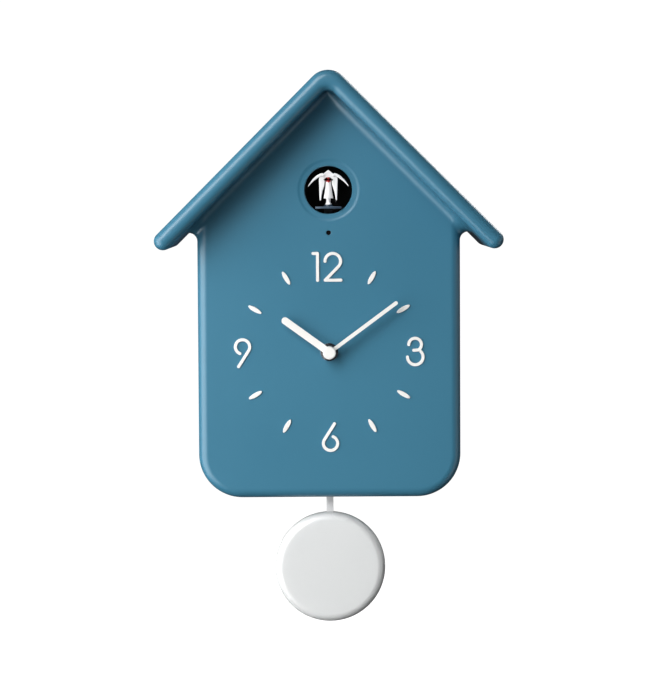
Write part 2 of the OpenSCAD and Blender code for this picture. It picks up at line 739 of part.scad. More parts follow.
module stepper_coil() color("peru") at_dial() difference() {
    y_c = y_stator + stator_t / 2;
    rod_x(y_c, coil_z, coil_r, rotor_at[0] - 24, rotor_at[0] - 7.5);
    block(-40, 40, y_stator - slip, y_stator + stator_t + slip, coil_z - 1.5 - slip, coil_z + 1.5 + slip);
}

module minute_arbor() color("goldenrod") at_dial() {
    hub_at(hub, arbor_r, -bush_l - hand_room - 2.5, level_centre - 0.6);
    gear_at(hub, level_cannon, cannon_teeth, hand_module, cannon_phase, wheel_t);
}

hand_room = 4.2;                             // from the bush's end to the minute hand's back
hour_plane = -bush_l - 0.9;                  // back of the hour hand, from the movement's front
minute_plane = hour_plane - hand_t - 1.6;    // back of the minute hand

module hour_wheel() color("ivory") at_dial() difference() {
    union() {
        gear_at(hub, level_hour, hour_teeth, pinion_module, hour_phase, wheel_t);
        hub_at(hub, pipe_r, hour_plane - hand_t, level_hour + 0.2);
    }
    hub_at(hub, arbor_r + run, hour_plane - hand_t - 1, level_hour + wheel_t + 1);
}

module motion_wheel() color("ivory") at_dial() {
    gear_at(motion_at, level_cannon, motion_teeth, hand_module, motion_phase, wheel_t);
    gear_at(motion_at, level_hour, motion_pinion, pinion_module, motion_phase, level_cannon - level_hour + 0.1);
    hub_at(motion_at, pivot_r, 0.7, level_hour + 0.1);
    hub_at(motion_at, pivot_r, level_cannon, pivot_out);
}

knob_gap = 1.2;
module time_knob() color("black") at_dial() {
    gear_at(knob_at, level_cannon, knob_teeth, hand_module, knob_phase, wheel_t);
    hub_at(knob_at, pivot_r, 0.7, level_cannon + 0.1);
    rod_y(knob_x, knob_z, 1.6, y_move + level_cannon + 0.9, y_cover - 2);
    difference() {
        rod_y(knob_x, knob_z, knob_r, y_cover - 3, -knob_gap / 2);
        for (i = [0:23]) translate([knob_x, 0, knob_z]) rotate([0, i * 15, 0])
            rod_y(knob_r + 0.4, 0, 0.8, y_cover - 4, 1);
    }
}

module centre_wheel() color("ivory") at_dial() {
    gear_at(hub, level_centre, centre_teeth, train_module, 0, wheel_t);
    hub_at(hub, pivot_r, level_centre + 0.9, pivot_out);
    hub_at(hub, hub_r, level_centre + 0.9, level_centre + 1.6);
}

// A wheel and pinion on one arbor, in the direction of the next wheel
module train_wheel(at, low, pinion, pinion_phase, high, wheel, wheel_phase) {
    gear_at(at, low, pinion, train_module, pinion_phase, high - low + 0.1);
    gear_at(at, high, wheel, train_module, wheel_phase, wheel_t);
    hub_at(at, pivot_r, 0.7, low + 0.1);
    hub_at(at, pivot_r, high + 0.9, pivot_out);
}

module third_wheel() color("ivory") at_dial()
    train_wheel(third_at, level_centre, third_pinion, third_phase, level_third, third_teeth, third_phase);
module seconds_wheel() color("ivory") at_dial()
    train_wheel(seconds_at, level_third, seconds_pinion, seconds_phase, level_seconds, seconds_teeth, seconds_phase);
module intermediate_wheel() color("ivory") at_dial()
    train_wheel(middle_at, level_seconds, middle_pinion, middle_phase, level_middle, middle_teeth, middle_phase);

module rotor() color("slategray") at_dial() {
    hub_at(rotor_at, 2.4, level_cannon, y_stator - y_move + stator_t + 0.6);
    gear_at(rotor_at, y_stator - y_move + stator_t + 0.5, rotor_teeth, train_module, rotor_phase,
            level_middle + wheel_t - (y_stator - y_move + stator_t + 0.5));
    hub_at(rotor_at, pivot_r, 0.7, level_cannon + 0.1);
    hub_at(rotor_at, pivot_r, level_middle + 0.9, pivot_out);
}

// Flat hand with a round eye and a round tip, from the centre along +X of its own frame
module hand(length, width, eye_r, bore, angle, plane, tail) at_dial()
    translate([0, y_move + plane, 0]) rotate([90, 0, 0]) rotate(90 - angle) linear_extrude(height = hand_t)
        difference() {
            union() {
                translate([-tail, -width / 2]) square([length + tail - width / 2, width]);
                translate([length - width / 2, 0]) circle(r = width / 2);
                circle(r = eye_r);
            }
            circle(r = bore + seat);
        }

module hour_hand() color("white") hand(hour_l, hour_w, 4.4, pipe_r, hour_angle, hour_plane, 0);
module minute_hand() color("white") hand(minute_l, minute_w, 4.2, arbor_r, minute_angle, minute_plane, 0);

cap_t = 3.2;
module centre_cap() color("white") at_dial() difference() {
    y0 = y_move + minute_plane - hand_t;
    union() {
        rod_y(0, 0, cap_r, y0 - cap_t + 0.8, y0);
        rod_y(0, 0, cap_r - 0.8, y0 - cap_t, y0);
        translate([0, y0 - cap_t + 0.8, 0]) rotate([90, 0, 0]) rotate_extrude() translate([cap_r - 0.8, 0]) circle(r = 0.8);
    }
    rod_y(0, 0, arbor_r + seat, y0 - 2.6, y0 + 1);
}

// ---------- pendulum ----------

y_bracket = y_in + 3.5;
bracket_t = 1.8;
bracket_half = 15;
bracket_spots = [[-11, -34], [11, -34], [-11, -90], [11, -90]];
pin_r = 1.5;
hanger_t = 3;
y_hanger = y_swing - hanger_t / 2;
magnet_drop = 70;
magnet_r = 5;
magnet_t = 2.2;
coil_y0 = y_bracket + bracket_t;
coil_y1 = y_hanger - magnet_t / 2 - 1.1;
sleeve_top = -84;
sleeve_low = -98;

module pendulum_bracket() color("whitesmoke") at_dial() difference() {
    union() {
        block(-bracket_half, bracket_half, y_bracket, y_bracket + bracket_t, -94, -30);
        rod_y(0, -pivot_drop, 4, y_bracket, y_hanger - gap);
        rod_y(0, -magnet_drop, 2, y_bracket, coil_y1 - 0.5);
    }
    rod_y(0, -pivot_drop, pin_r + seat, y_bracket - 1, y_hanger + 1);
    for (p = bracket_spots) rod_y(p[0], p[1], 1.2, y_bracket - 1, y_bracket + bracket_t + 1);
}

module pendulum_pin() color("silver") at_dial() {
    rod_y(0, -pivot_drop, pin_r, y_bracket, y_hanger + hanger_t + 1);
    rod_y(0, -pivot_drop, pin_r + 1.4, y_hanger + hanger_t + gap, y_hanger + hanger_t + 1.1);
}

module drive_coil() color("peru") at_dial() tube_y(0, -magnet_drop, 8.5, 2.1, coil_y0, coil_y1);

module pendulum_hanger() color("whitesmoke") at_dial() difference() {
    union() {
        prism(y_hanger, y_hanger + hanger_t) {
            translate([0, -pivot_drop]) circle(r = 4.5);
            translate([-rod_w / 2, sleeve_top - 1]) square([rod_w, -pivot_drop - sleeve_top]);
            translate([0, -magnet_drop]) circle(r = magnet_r + 1.6);
        }
        block(-rod_w / 2 - 2, rod_w / 2 + 2, y_swing - rod_t / 2 - 1.4, y_swing + rod_t / 2 + 1.4, sleeve_low, sleeve_top);
    }
    rod_y(0, -pivot_drop, pin_r + run, y_hanger - 1, y_hanger + hanger_t + 1);
    rod_y(0, -magnet_drop, magnet_r + seat, y_hanger - 1, y_hanger + magnet_t / 2);
    block(-rod_w / 2 - slip, rod_w / 2 + slip, y_swing - rod_t / 2 - slip, y_swing + rod_t / 2 + slip,
          sleeve_low - 1, sleeve_top - 2);
}

module pendulum_magnet() color("silver") at_dial()
    rod_y(0, -magnet_drop, magnet_r, y_hanger - magnet_t / 2, y_hanger + magnet_t / 2);

bob_drop = body_drop + bob_gap + bob_r;          // depth of the bob's centre below the dial centre
rod_end = -bob_drop + bob_r - 12;
module pendulum_rod() color("whitesmoke") at_dial()
    block(-rod_w / 2, rod_w / 2, y_swing - rod_t / 2, y_swing + rod_t / 2, rod_end, sleeve_top - 2);

bob_edge = 5;
module pendulum_bob() color("whitesmoke") at_dial() difference() {
    translate([0, y_swing, -bob_drop]) rotate([90, 0, 0]) rotate_extrude() {
        translate([0, -bob_t / 2]) square([bob_r - bob_edge, bob_t]);
        translate([0, -bob_t / 2 + bob_edge]) square([bob_r, bob_t - 2 * bob_edge]);
        for (s = [-1, 1]) translate([bob_r - bob_edge, s * (bob_t / 2 - bob_edge)]) circle(r = bob_edge);
    }
    block(-rod_w / 2 - seat, rod_w / 2 + seat, y_swing - rod_t / 2 - seat, y_swing + rod_t / 2 + seat,
          rod_end, -bob_drop + bob_r + 1);
}

// ---------- bird ----------

plate_half = 9.3;
plate_z = -11.6;                             // top of the carriage's plate, from the opening's centre
plate_t = 1.6;
y_bird = y_face - 2;                         // front of the carriage's plate with the bird out
chamber_half = hole_r + 3.4;
chamber_t = 1.5;
chamber_back = y_in + 51;
floor_z = -chamber_half;
rail_x = 8;
rail_z = floor_z - 4.4;
lug_t = 3;
lug_half = rail_x + rail_r + 1.2;
y_lug = y_in + 6;
rail_y0 = y_in + 0.5;
rail_y1 = y_in + 57;
block_y0 = y_in + 9;
block_l = 12;
block_half = 12;
stem_half = 3;
stem_y0 = block_y0 + 3;
stem_l = 6;
rack_module = 0.75;
rack_x = block_half + 2;                     // pitch line of the rack
gear_teeth = 20;
pinion_teeth = 8;
gear_x = rack_x + pitch_r(gear_teeth, rack_module);
gear_y = block_y0 + bird_travel + 7;
motor_at = [gear_x + pitch_r(gear_teeth + pinion_teeth, rack_module), gear_y];
rack_l = bird_travel + 14;
gear_z = rail_z - 1.5;
gear_t = 3;
shelf_t = 1.5;
chamber_spots = [[-chamber_half - 5, hole_up + 12], [chamber_half + 5, hole_up + 12],
                 [-chamber_half - 5, hole_up - 12], [chamber_half + 5, hole_up - 12]];

module at_hole() translate([0, 0, hole_up]) children();

module bird_chamber() color("black") at_dial() {
    difference() {
        at_hole() union() {
            difference() {
                block(-chamber_half, chamber_half, y_in, chamber_back, floor_z - chamber_t, chamber_half);
                block(-chamber_half + chamber_t, chamber_half - chamber_t, y_in - 1, chamber_back - chamber_t,
                      floor_z, chamber_half - chamber_t);
            }
            // Floor beam with the two lugs that hold the rails
            block(-block_half - 1, block_half + 1, y_in, rail_y1, floor_z - chamber_t, floor_z);
            for (y = [y_in, rail_y1 - lug_t])
                block(-lug_half, lug_half, y, y + lug_t, rail_z - 2.6, floor_z - 0.5);
            // Shelf that carries the motor and the drive gear's pin
            block(block_half, motor_at[0] + 10, gear_y - 12, min(gear_y + 12, rail_y1), floor_z - chamber_t, floor_z);
            rod_z(gear_x, gear_y, 1.2, gear_z - 2, floor_z - 0.5);
            // Ears that screw to the face
            for (s = [-1, 1]) for (z = [-12, 12])
                block(s > 0 ? chamber_half - 1 : -chamber_half - 9, s > 0 ? chamber_half + 9 : -chamber_half + 1,
                      y_lug, y_lug + lug_t, z - 4, z + 4);
        }
        for (p = chamber_spots) rod_y(p[0], p[1], 1.2, y_lug - 1, y_lug + lug_t + 1);
        at_hole() {
            // Slot for the carriage's stem
            block(-stem_half - 1, stem_half + 1, stem_y0 - 2, stem_y0 + stem_l + bird_travel + 2,
                  floor_z - chamber_t - 1, floor_z + 1);
            for (s = [-1, 1]) rod_y(s * rail_x, rail_z, rail_r + seat, rail_y0, rail_y1 + 1);
            rod_z(motor_at[0], motor_at[1], 2.4, floor_z - chamber_t - 1, floor_z + 1);
        }
    }
}

module guide_rails() color("silver") at_dial() at_hole()
    for (s = [-1, 1]) rod_y(s * rail_x, rail_z, rail_r, rail_y0, rail_y1);

module rack_teeth() for (i = [0:floor(rack_l / (PI * rack_module)) - 1]) {
    p = PI * rack_module;
    y = gear_y + (i - floor(rack_l / p) + 3) * p;
    translate([rack_x, y, gear_z]) linear_extrude(height = gear_t) polygon([
        [-root_share * rack_module - 0.1, -0.27 * p], [tip_share * rack_module, -0.1 * p],
        [tip_share * rack_module, 0.1 * p], [-root_share * rack_module - 0.1, 0.27 * p]]);
}

module bird_carriage() color("slategray") at_dial() at_hole() difference() {
    union() {
        block(-plate_half, plate_half, y_bird, stem_y0 + stem_l, plate_z - plate_t, plate_z);
        block(-stem_half, stem_half, stem_y0, stem_y0 + stem_l, rail_z, plate_z - 0.5);
        block(-block_half, block_half, block_y0, block_y0 + block_l, rail_z - 2.6, floor_z - chamber_t - 0.6);
        // Rack along the right side
        block(block_half - 0.8, rack_x - root_share * rack_module, block_y0, block_y0 + rack_l, gear_z, gear_z + gear_t);
        rack_teeth();
        // Boss that the bird's post stands in
        rod_z(bird_x, post_y, 3.2, plate_z - 0.5, plate_z + 1.2);
    }
    for (s = [-1, 1]) rod_y(s * rail_x, rail_z, rail_r + run, block_y0 - 1, block_y0 + block_l + 1);
    rod_z(bird_x, post_y, post_r + seat, plate_z - plate_t - 1, plate_z + 3);
}

drive_phase = 180 + 180 / gear_teeth;         // a tooth gap of the drive gear faces the rack
module drive_gear() color("ivory") at_dial() at_hole() translate([gear_x, gear_y, 0]) difference() {
    translate([0, 0, gear_z]) linear_extrude(height = gear_t) gear2d(gear_teeth, rack_module, drive_phase);
    rod_z(0, 0, 1.2 + run, gear_z - 1, gear_z + gear_t + 1);
}

module motor_pinion() color("gold") at_dial() at_hole() translate([motor_at[0], motor_at[1], 0]) difference() {
    translate([0, 0, gear_z]) linear_extrude(height = gear_t)
        gear2d(pinion_teeth, rack_module, mesh_phase(gear_teeth, drive_phase, pinion_teeth, 0));
    rod_z(0, 0, 1 + run / 2, gear_z - 1, gear_z + gear_t + 1);
}

motor_r = 8;
motor_l = 22;
module bird_motor() color("silver") at_dial() at_hole() translate([motor_at[0], motor_at[1], 0]) {
    rod_z(0, 0, motor_r, floor_z, floor_z + motor_l);
    rod_z(0, 0, 2.3, floor_z - chamber_t + 0.2, floor_z + 0.1);
    rod_z(0, 0, 1, gear_z - 0.6, floor_z + 0.1);
    rod_z(0, 0, 3, floor_z + motor_l - 0.1, floor_z + motor_l + 1.2);
}

bird_x = 0;
post_y = y_bird + 5;
post_r = 1.6;
wing_x = 3.75;
wing_z = 10.4;
y_beak = y_bird - 1.2;
body_y0 = y_bird + 1;
body_y1 = y_bird + 10;

// The bird: a peaked hood with a panel down each side, and a flared skirt on a post
module bird_body() color("white") at_dial() at_hole() difference() {
    union() {
        prism(body_y0 + 0.6, body_y1) polygon([[-6.5, 8.6], [0, 14.2], [6.5, 8.6], [6.6, 5], [-6.6, 5]]);
        for (s = [0, 1]) mirror([s, 0, 0]) prism(body_y0 + 0.6, body_y1)
            polygon([[6.5, 8.7], [6.6, 5], [6.4, -6.6], [5.9, -7.4], [5.2, -7], [4.6, -3.2], [2.9, 0.8], [2.4, 8]]);
        prism(body_y0, body_y1 - 1) polygon([[-2.2, 8], [2.2, 8], [2.2, 2], [3.4, -5.4], [-3.4, -5.4], [-2.2, 2]]);
        translate([0, post_y, 0]) {
            rod_z(0, 0, post_r, plate_z - plate_t, -5);
            rod_z(0, 0, 2.3, plate_z + 1.3, plate_z + 2);
        }
    }
    for (s = [-1, 1]) rod_y(s * wing_x, wing_z, wing_pin_r, body_y0, body_y0 + 4);
    // Mouth behind the beak, and a seat for each eye
    block(-1.9, 1.9, body_y0 - 1, body_y0 + 2.6, 5.1, 9.2);
}

module bird_eyes() color("black") at_dial() at_hole() for (s = [-1, 1])
    rod_y(s * 2.75, 7.2, 0.55, body_y0 - 0.15, body_y0 + 0.6);

module beak_upper() color("red") at_dial() at_hole() {
    translate([0, body_y0 + 2.4, 8.3]) rotate([90, 0, 0]) cylinder(r1 = 0.8, r2 = 0.5, h = 4);
}

beak_pin_y = body_y0 + 1.7;
module beak_lower() color("red") at_dial() at_hole() {
    translate([0, beak_pin_y + 0.2, 6.2]) rotate([96, 0, 0]) cylinder(r1 = 0.9, r2 = 0.5, h = 3.4);
    rod_x(beak_pin_y, 6.2, 0.45, -1.6, 1.6);
}

// One wing: a thin arched blade whose root turns on a pin
wing_t = 1.2;
wing_steps = 8;
function wing_mid(u) = [wing_x + 9.8 * u, wing_z + 0.6 - 8.2 * u * u - 0.2 * u];
function wing_half(u) = 0.25 + 1.05 * sqrt(max(0, 1 - pow(2 * u - 0.7, 2) / 1.9));
module wing2d() polygon(concat(
    [for (i = [0:wing_steps]) let (u = i / wing_steps) wing_mid(u) + [0.35, 0.8] * wing_half(u)],
    [for (i = [wing_steps:-1:0]) let (u = i / wing_steps) wing_mid(u) - [0.35, 0.8] * wing_half(u)]));

module wing(side) at_dial() at_hole() mirror([side, 0, 0]) {
    prism(body_y0 - wing_t + 0.3, body_y0 + 0.3) wing2d();
    rod_y(wing_x, wing_z, 1.2, body_y0 - wing_t + 0.3, body_y0 + 0.3);
    rod_y(wing_x, wing_z, wing_pin_r - run, body_y0, body_y0 + 3.6);
}

module wing_left() color("white") wing(1);
module wing_right() color("white") wing(0);

housing();
back_cover();
case_screws();
numerals();
hour_marks();
bird_chamber();
light_sensor();
main_board();
board_parts();
inner_screws();
speaker_basket();
speaker_magnet();
speaker_cone();
c_cells();
battery_springs();
battery_contacts();
movement_front();
movement_back();
dial_nut();
dial_washer();
stepper_coil();
stepper_stator();
guide_rails();
bird_motor();
pendulum_bracket();
pendulum_pin();
drive_coil();
control_board();
switch_bodies();
minute_hand();
minute_arbor();
centre_cap();
hour_hand();
hour_wheel();
motion_wheel();
time_knob();
centre_wheel();
third_wheel();
seconds_wheel();
intermediate_wheel();
rotor();
pendulum_hanger();
pendulum_rod();
pendulum_bob();
pendulum_magnet();
bird_carriage();
bird_body();
bird_eyes();
beak_upper();
beak_lower();
wing_left();
wing_right();
drive_gear();
motor_pinion();
battery_door();
volume_lever();
mode_lever();
test_button();
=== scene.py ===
import bpy, bmesh, json, math
from mathutils import Vector, Matrix


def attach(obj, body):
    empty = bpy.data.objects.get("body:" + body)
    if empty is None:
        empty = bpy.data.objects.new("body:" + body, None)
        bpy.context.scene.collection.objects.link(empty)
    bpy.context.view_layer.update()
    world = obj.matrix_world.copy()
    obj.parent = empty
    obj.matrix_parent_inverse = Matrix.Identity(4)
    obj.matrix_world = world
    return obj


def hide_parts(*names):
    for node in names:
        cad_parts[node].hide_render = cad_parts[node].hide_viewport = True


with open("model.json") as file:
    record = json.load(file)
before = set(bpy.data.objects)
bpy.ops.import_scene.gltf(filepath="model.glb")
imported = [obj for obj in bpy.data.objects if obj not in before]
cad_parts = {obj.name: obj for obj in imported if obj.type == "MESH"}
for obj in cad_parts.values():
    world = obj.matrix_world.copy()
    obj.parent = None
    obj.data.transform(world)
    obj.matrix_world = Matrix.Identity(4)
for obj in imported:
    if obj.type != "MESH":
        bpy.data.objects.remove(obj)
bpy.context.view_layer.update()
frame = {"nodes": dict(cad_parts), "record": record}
nodes = frame["nodes"]
print("frame loaded:", len(nodes), "nodes")

hangUp = 150.0  # the keyhole above the dial centre, mm; everything below is in mm from the dial centre


def spot(x, y, z):
    return Vector((x, y, z - hangUp)) / 1000


def rgb(r, g, b):
    lin = [((c / 255 + 0.055) / 1.055) ** 2.4 if c > 10 else c / 255 / 12.92 for c in (r, g, b)]
    return (*lin, 1.0)


# camera, lamps and floor

cameraSet = {"distance": 1800, "yaw": -0.26, "pitch": 3.41, "roll": -0.32, "aim": (0.54, -91, 6.38),
             "lens": 138.458, "sensor": 36, "farEnd": 30}
stageSet = {"floorDrop": -560, "floorSize": 6.0, "floorTone": (0.93, 0.93, 0.93, 1), "floorRough": 0.9,
            "floorGlow": 1.0, "airTone": (1, 1, 1, 1), "airGlow": 0.05, "backdropGlow": 1.05}
lampSet = [
    {"name": "keyLamp", "at": (-775, -1085, 800), "aim": (-240, -91, 30),
     "size": (1250, 1250), "watts": 3.5, "spread": 52},
    {"name": "leftPanel", "at": (-1000, -700, -120), "aim": (-60, -91, 0),
     "size": (1300, 1600), "watts": 26, "spread": 180},
    {"name": "frontFill", "at": (200, -2600, 300), "aim": (0, -91, 0),
     "size": (1600, 1600), "watts": 0.25, "spread": 180},
    {"name": "rightEdge", "at": (1100, -420, -420), "aim": (0, -60, -60),
     "size": (500, 1200), "watts": 1.8, "spread": 180},
    {"name": "backFill", "at": (1300, 1800, 1400), "aim": (0, 0, 0),
     "size": (1200, 1200), "watts": 22, "spread": 180},
    {"name": "sideFill", "at": (1700, 350, 500), "aim": (93, -30, 0),
     "size": (900, 1200), "watts": 2.5, "spread": 180},
]


def lookAt(obj, target):
    obj.rotation_euler = (target - obj.location).to_track_quat("-Z", "Y").to_euler()


def setStage():
    c = cameraSet
    cam = bpy.data.objects.new("studioCamera", bpy.data.cameras.new("studioCamera"))
    bpy.context.collection.objects.link(cam)
    yaw, pitch = math.radians(c["yaw"]), math.radians(c["pitch"])
    aim = spot(*c["aim"])
    sight = Vector((-math.sin(yaw) * math.cos(pitch), math.cos(yaw) * math.cos(pitch), -math.sin(pitch)))
    cam.location = aim - sight * c["distance"] / 1000
    turn = sight.to_track_quat("-Z", "Y").to_matrix().to_4x4()
    roll = Matrix.Rotation(math.radians(c["roll"]), 4, "Z")
    cam.matrix_world = Matrix.Translation(cam.location) @ turn @ roll
    cam.data.sensor_fit = "HORIZONTAL"
    cam.data.sensor_width = c["sensor"]
    cam.data.lens = c["lens"]
    cam.data.clip_end = c["farEnd"]
    bpy.context.scene.camera = cam
    bpy.context.scene.view_settings.view_transform = "Standard"

    world = bpy.data.worlds.new("studioAir")
    world.use_nodes = True
    tree = world.node_tree
    tree.nodes.clear()
    out = tree.nodes.new("ShaderNodeOutputWorld")
    mix = tree.nodes.new("ShaderNodeMixShader")
    path = tree.nodes.new("ShaderNodeLightPath")
    glow = tree.nodes.new("ShaderNodeBackground")
    sky = tree.nodes.new("ShaderNodeBackground")
    glow.inputs["Color"].default_value = stageSet["airTone"]
    glow.inputs["Strength"].default_value = stageSet["airGlow"]
    sky.inputs["Color"].default_value = stageSet["airTone"]
    sky.inputs["Strength"].default_value = stageSet["backdropGlow"]
    tree.links.new(path.outputs["Is Camera Ray"], mix.inputs[0])
    tree.links.new(glow.outputs[0], mix.inputs[1])
    tree.links.new(sky.outputs[0], mix.inputs[2])
    tree.links.new(mix.outputs[0], out.inputs["Surface"])
    bpy.context.scene.world = world

    for lamp in lampSet:
        data = bpy.data.lights.new(lamp["name"], "AREA")
        data.shape, data.size, data.size_y = "RECTANGLE", lamp["size"][0] / 1000, lamp["size"][1] / 1000
        data.energy, data.spread = lamp["watts"], math.radians(lamp["spread"])
        obj = bpy.data.objects.new(lamp["name"], data)
        bpy.context.collection.objects.link(obj)
        obj.location = spot(*lamp["at"])
        lookAt(obj, spot(*lamp["aim"]))

    mesh = bpy.data.meshes.new("paleFloor")
    half, level = stageSet["floorSize"] / 2, (stageSet["floorDrop"] - hangUp) / 1000
    corners = [(-half, -half, level), (half, -half, level), (half, half, level), (-half, half, level)]
    mesh.from_pydata(corners, [], [(0, 1, 2, 3)])
    floor = bpy.data.objects.new("paleFloor", mesh)
    bpy.context.collection.objects.link(floor)
    mat = bpy.data.materials.new("paleFloor")
    mat.use_nodes = True
    shader = mat.node_tree.nodes["Principled BSDF"]
    shader.inputs["Base Color"].default_value = stageSet["floorTone"]
    shader.inputs["Roughness"].default_value = stageSet["floorRough"]
    shader.inputs["Emission Color"].default_value = stageSet["airTone"]
    shader.inputs["Emission Strength"].default_value = stageSet["floorGlow"]
    mesh.materials.append(mat)
    floor.visible_diffuse = floor.visible_glossy = False


setStage()
print("camera, lamps and floor set")

# shared effects, as node groups


def newGroup(name, ins, outs):
    tree = bpy.data.node_groups.new(name, "ShaderNodeTree")
    for label, value in ins:
        tree.interface.new_socket(label, in_out="INPUT", socket_type="NodeSocketFloat").default_value = value
    for label in outs:
        tree.interface.new_socket(label, in_out="OUTPUT", socket_type="NodeSocketFloat")
    return tree, tree.nodes.new("NodeGroupInput"), tree.nodes.new("NodeGroupOutput")


def noiseNode(tree, coords, scale, detail, rough=0.5):
    noise = tree.nodes.new("ShaderNodeTexNoise")
    noise.inputs["Detail"].default_value = detail
    noise.inputs["Roughness"].default_value = rough
    tree.links.new(coords, noise.inputs["Vector"])
    if isinstance(scale, (int, float)):
        noise.inputs["Scale"].default_value = scale
    else:
        tree.links.new(scale, noise.inputs["Scale"])
    return noise.outputs["Fac"]


def mathNode(tree, kind, a, b=0.5, clamp=False):
    node = tree.nodes.new("ShaderNodeMath")
    node.operation, node.use_clamp = kind, clamp
    for socket, value in zip(node.inputs, (a, b)):
        if isinstance(value, (int, float)):
            socket.default_value = value
        else:
            tree.links.new(value, socket)
    return node.outputs[0]


def buildMouldSkin():  # fine moulded skin: a long ripple under a fine orange-peel
    inputs = [("Ripple Scale", 60), ("Peel Scale", 900), ("Peel Share", 0.4)]
    tree, ins, outs = newGroup("mouldSkin", inputs, ["Height", "Mottle"])
    where = tree.nodes.new("ShaderNodeTexCoord").outputs["Object"]
    ripple = noiseNode(tree, where, ins.outputs["Ripple Scale"], 2)
    peel = noiseNode(tree, where, ins.outputs["Peel Scale"], 3)
    share = mathNode(tree, "MULTIPLY", peel, ins.outputs["Peel Share"])
    tree.links.new(mathNode(tree, "ADD", ripple, share), outs.inputs["Height"])
    blotch = noiseNode(tree, where, 9, 2, 0.4)
    tree.links.new(blotch, outs.inputs["Mottle"])
    return tree


def buildEdgeRub():  # lighter where a convex edge is handled
    tree, ins, outs = newGroup("edgeRub", [("Start", 0.53), ("Breakup Scale", 120)], ["Mask"])
    sharp = tree.nodes.new("ShaderNodeNewGeometry").outputs["Pointiness"]
    where = tree.nodes.new("ShaderNodeTexCoord").outputs["Object"]
    over = mathNode(tree, "SUBTRACT", sharp, ins.outputs["Start"])
    steep = mathNode(tree, "MULTIPLY", over, 14, clamp=True)
    broken = noiseNode(tree, where, ins.outputs["Breakup Scale"], 4)
    tree.links.new(mathNode(tree, "MULTIPLY", steep, broken, clamp=True), outs.inputs["Mask"])
    return tree


def buildDust():  # a thin film on what faces up
    tree, ins, outs = newGroup("dustFilm", [("Amount", 0.3), ("Scale", 90)], ["Mask"])
    where = tree.nodes.new("ShaderNodeTexCoord").outputs["Object"]
    up = tree.nodes.new("ShaderNodeSeparateXYZ")
    tree.links.new(tree.nodes.new("ShaderNodeNewGeometry").outputs["Normal"], up.inputs[0])
    facing = mathNode(tree, "MULTIPLY", mathNode(tree, "SUBTRACT", up.outputs["Z"], 0.35), 1.5, clamp=True)
    speck = noiseNode(tree, where, ins.outputs["Scale"], 6, 0.7)
    film = mathNode(tree, "MULTIPLY", facing, mathNode(tree, "POWER", speck, 1.6))
    tree.links.new(mathNode(tree, "MULTIPLY", film, ins.outputs["Amount"], clamp=True), outs.inputs["Mask"])
    return tree


def buildDrawnLines():  # fine drawn lines along one axis
    tree, ins, outs = newGroup("drawnLines", [("Along", 40), ("Across", 1800)], ["Height", "Mottle"])
    where = tree.nodes.new("ShaderNodeTexCoord").outputs["Object"]
    parts = tree.nodes.new("ShaderNodeSeparateXYZ")
    joined = tree.nodes.new("ShaderNodeCombineXYZ")
    tree.links.new(where, parts.inputs[0])
    tree.links.new(mathNode(tree, "MULTIPLY", parts.outputs["X"], ins.outputs["Across"]), joined.inputs["X"])
    tree.links.new(mathNode(tree, "MULTIPLY", parts.outputs["Y"], ins.outputs["Along"]), joined.inputs["Y"])
    tree.links.new(mathNode(tree, "MULTIPLY", parts.outputs["Z"], ins.outputs["Across"]), joined.inputs["Z"])
    lines = noiseNode(tree, joined.outputs[0], 1.0, 2)
    tree.links.new(lines, outs.inputs["Height"])
    tree.links.new(noiseNode(tree, where, 60, 4), outs.inputs["Mottle"])
    return tree


effects = {"mouldSkin": buildMouldSkin(), "edgeRub": buildEdgeRub(), "dustFilm": buildDust(),
           "drawnLines": buildDrawnLines()}

# materials: the low and high colour of a slow mottle, the worn edge, the roughness span and the bump

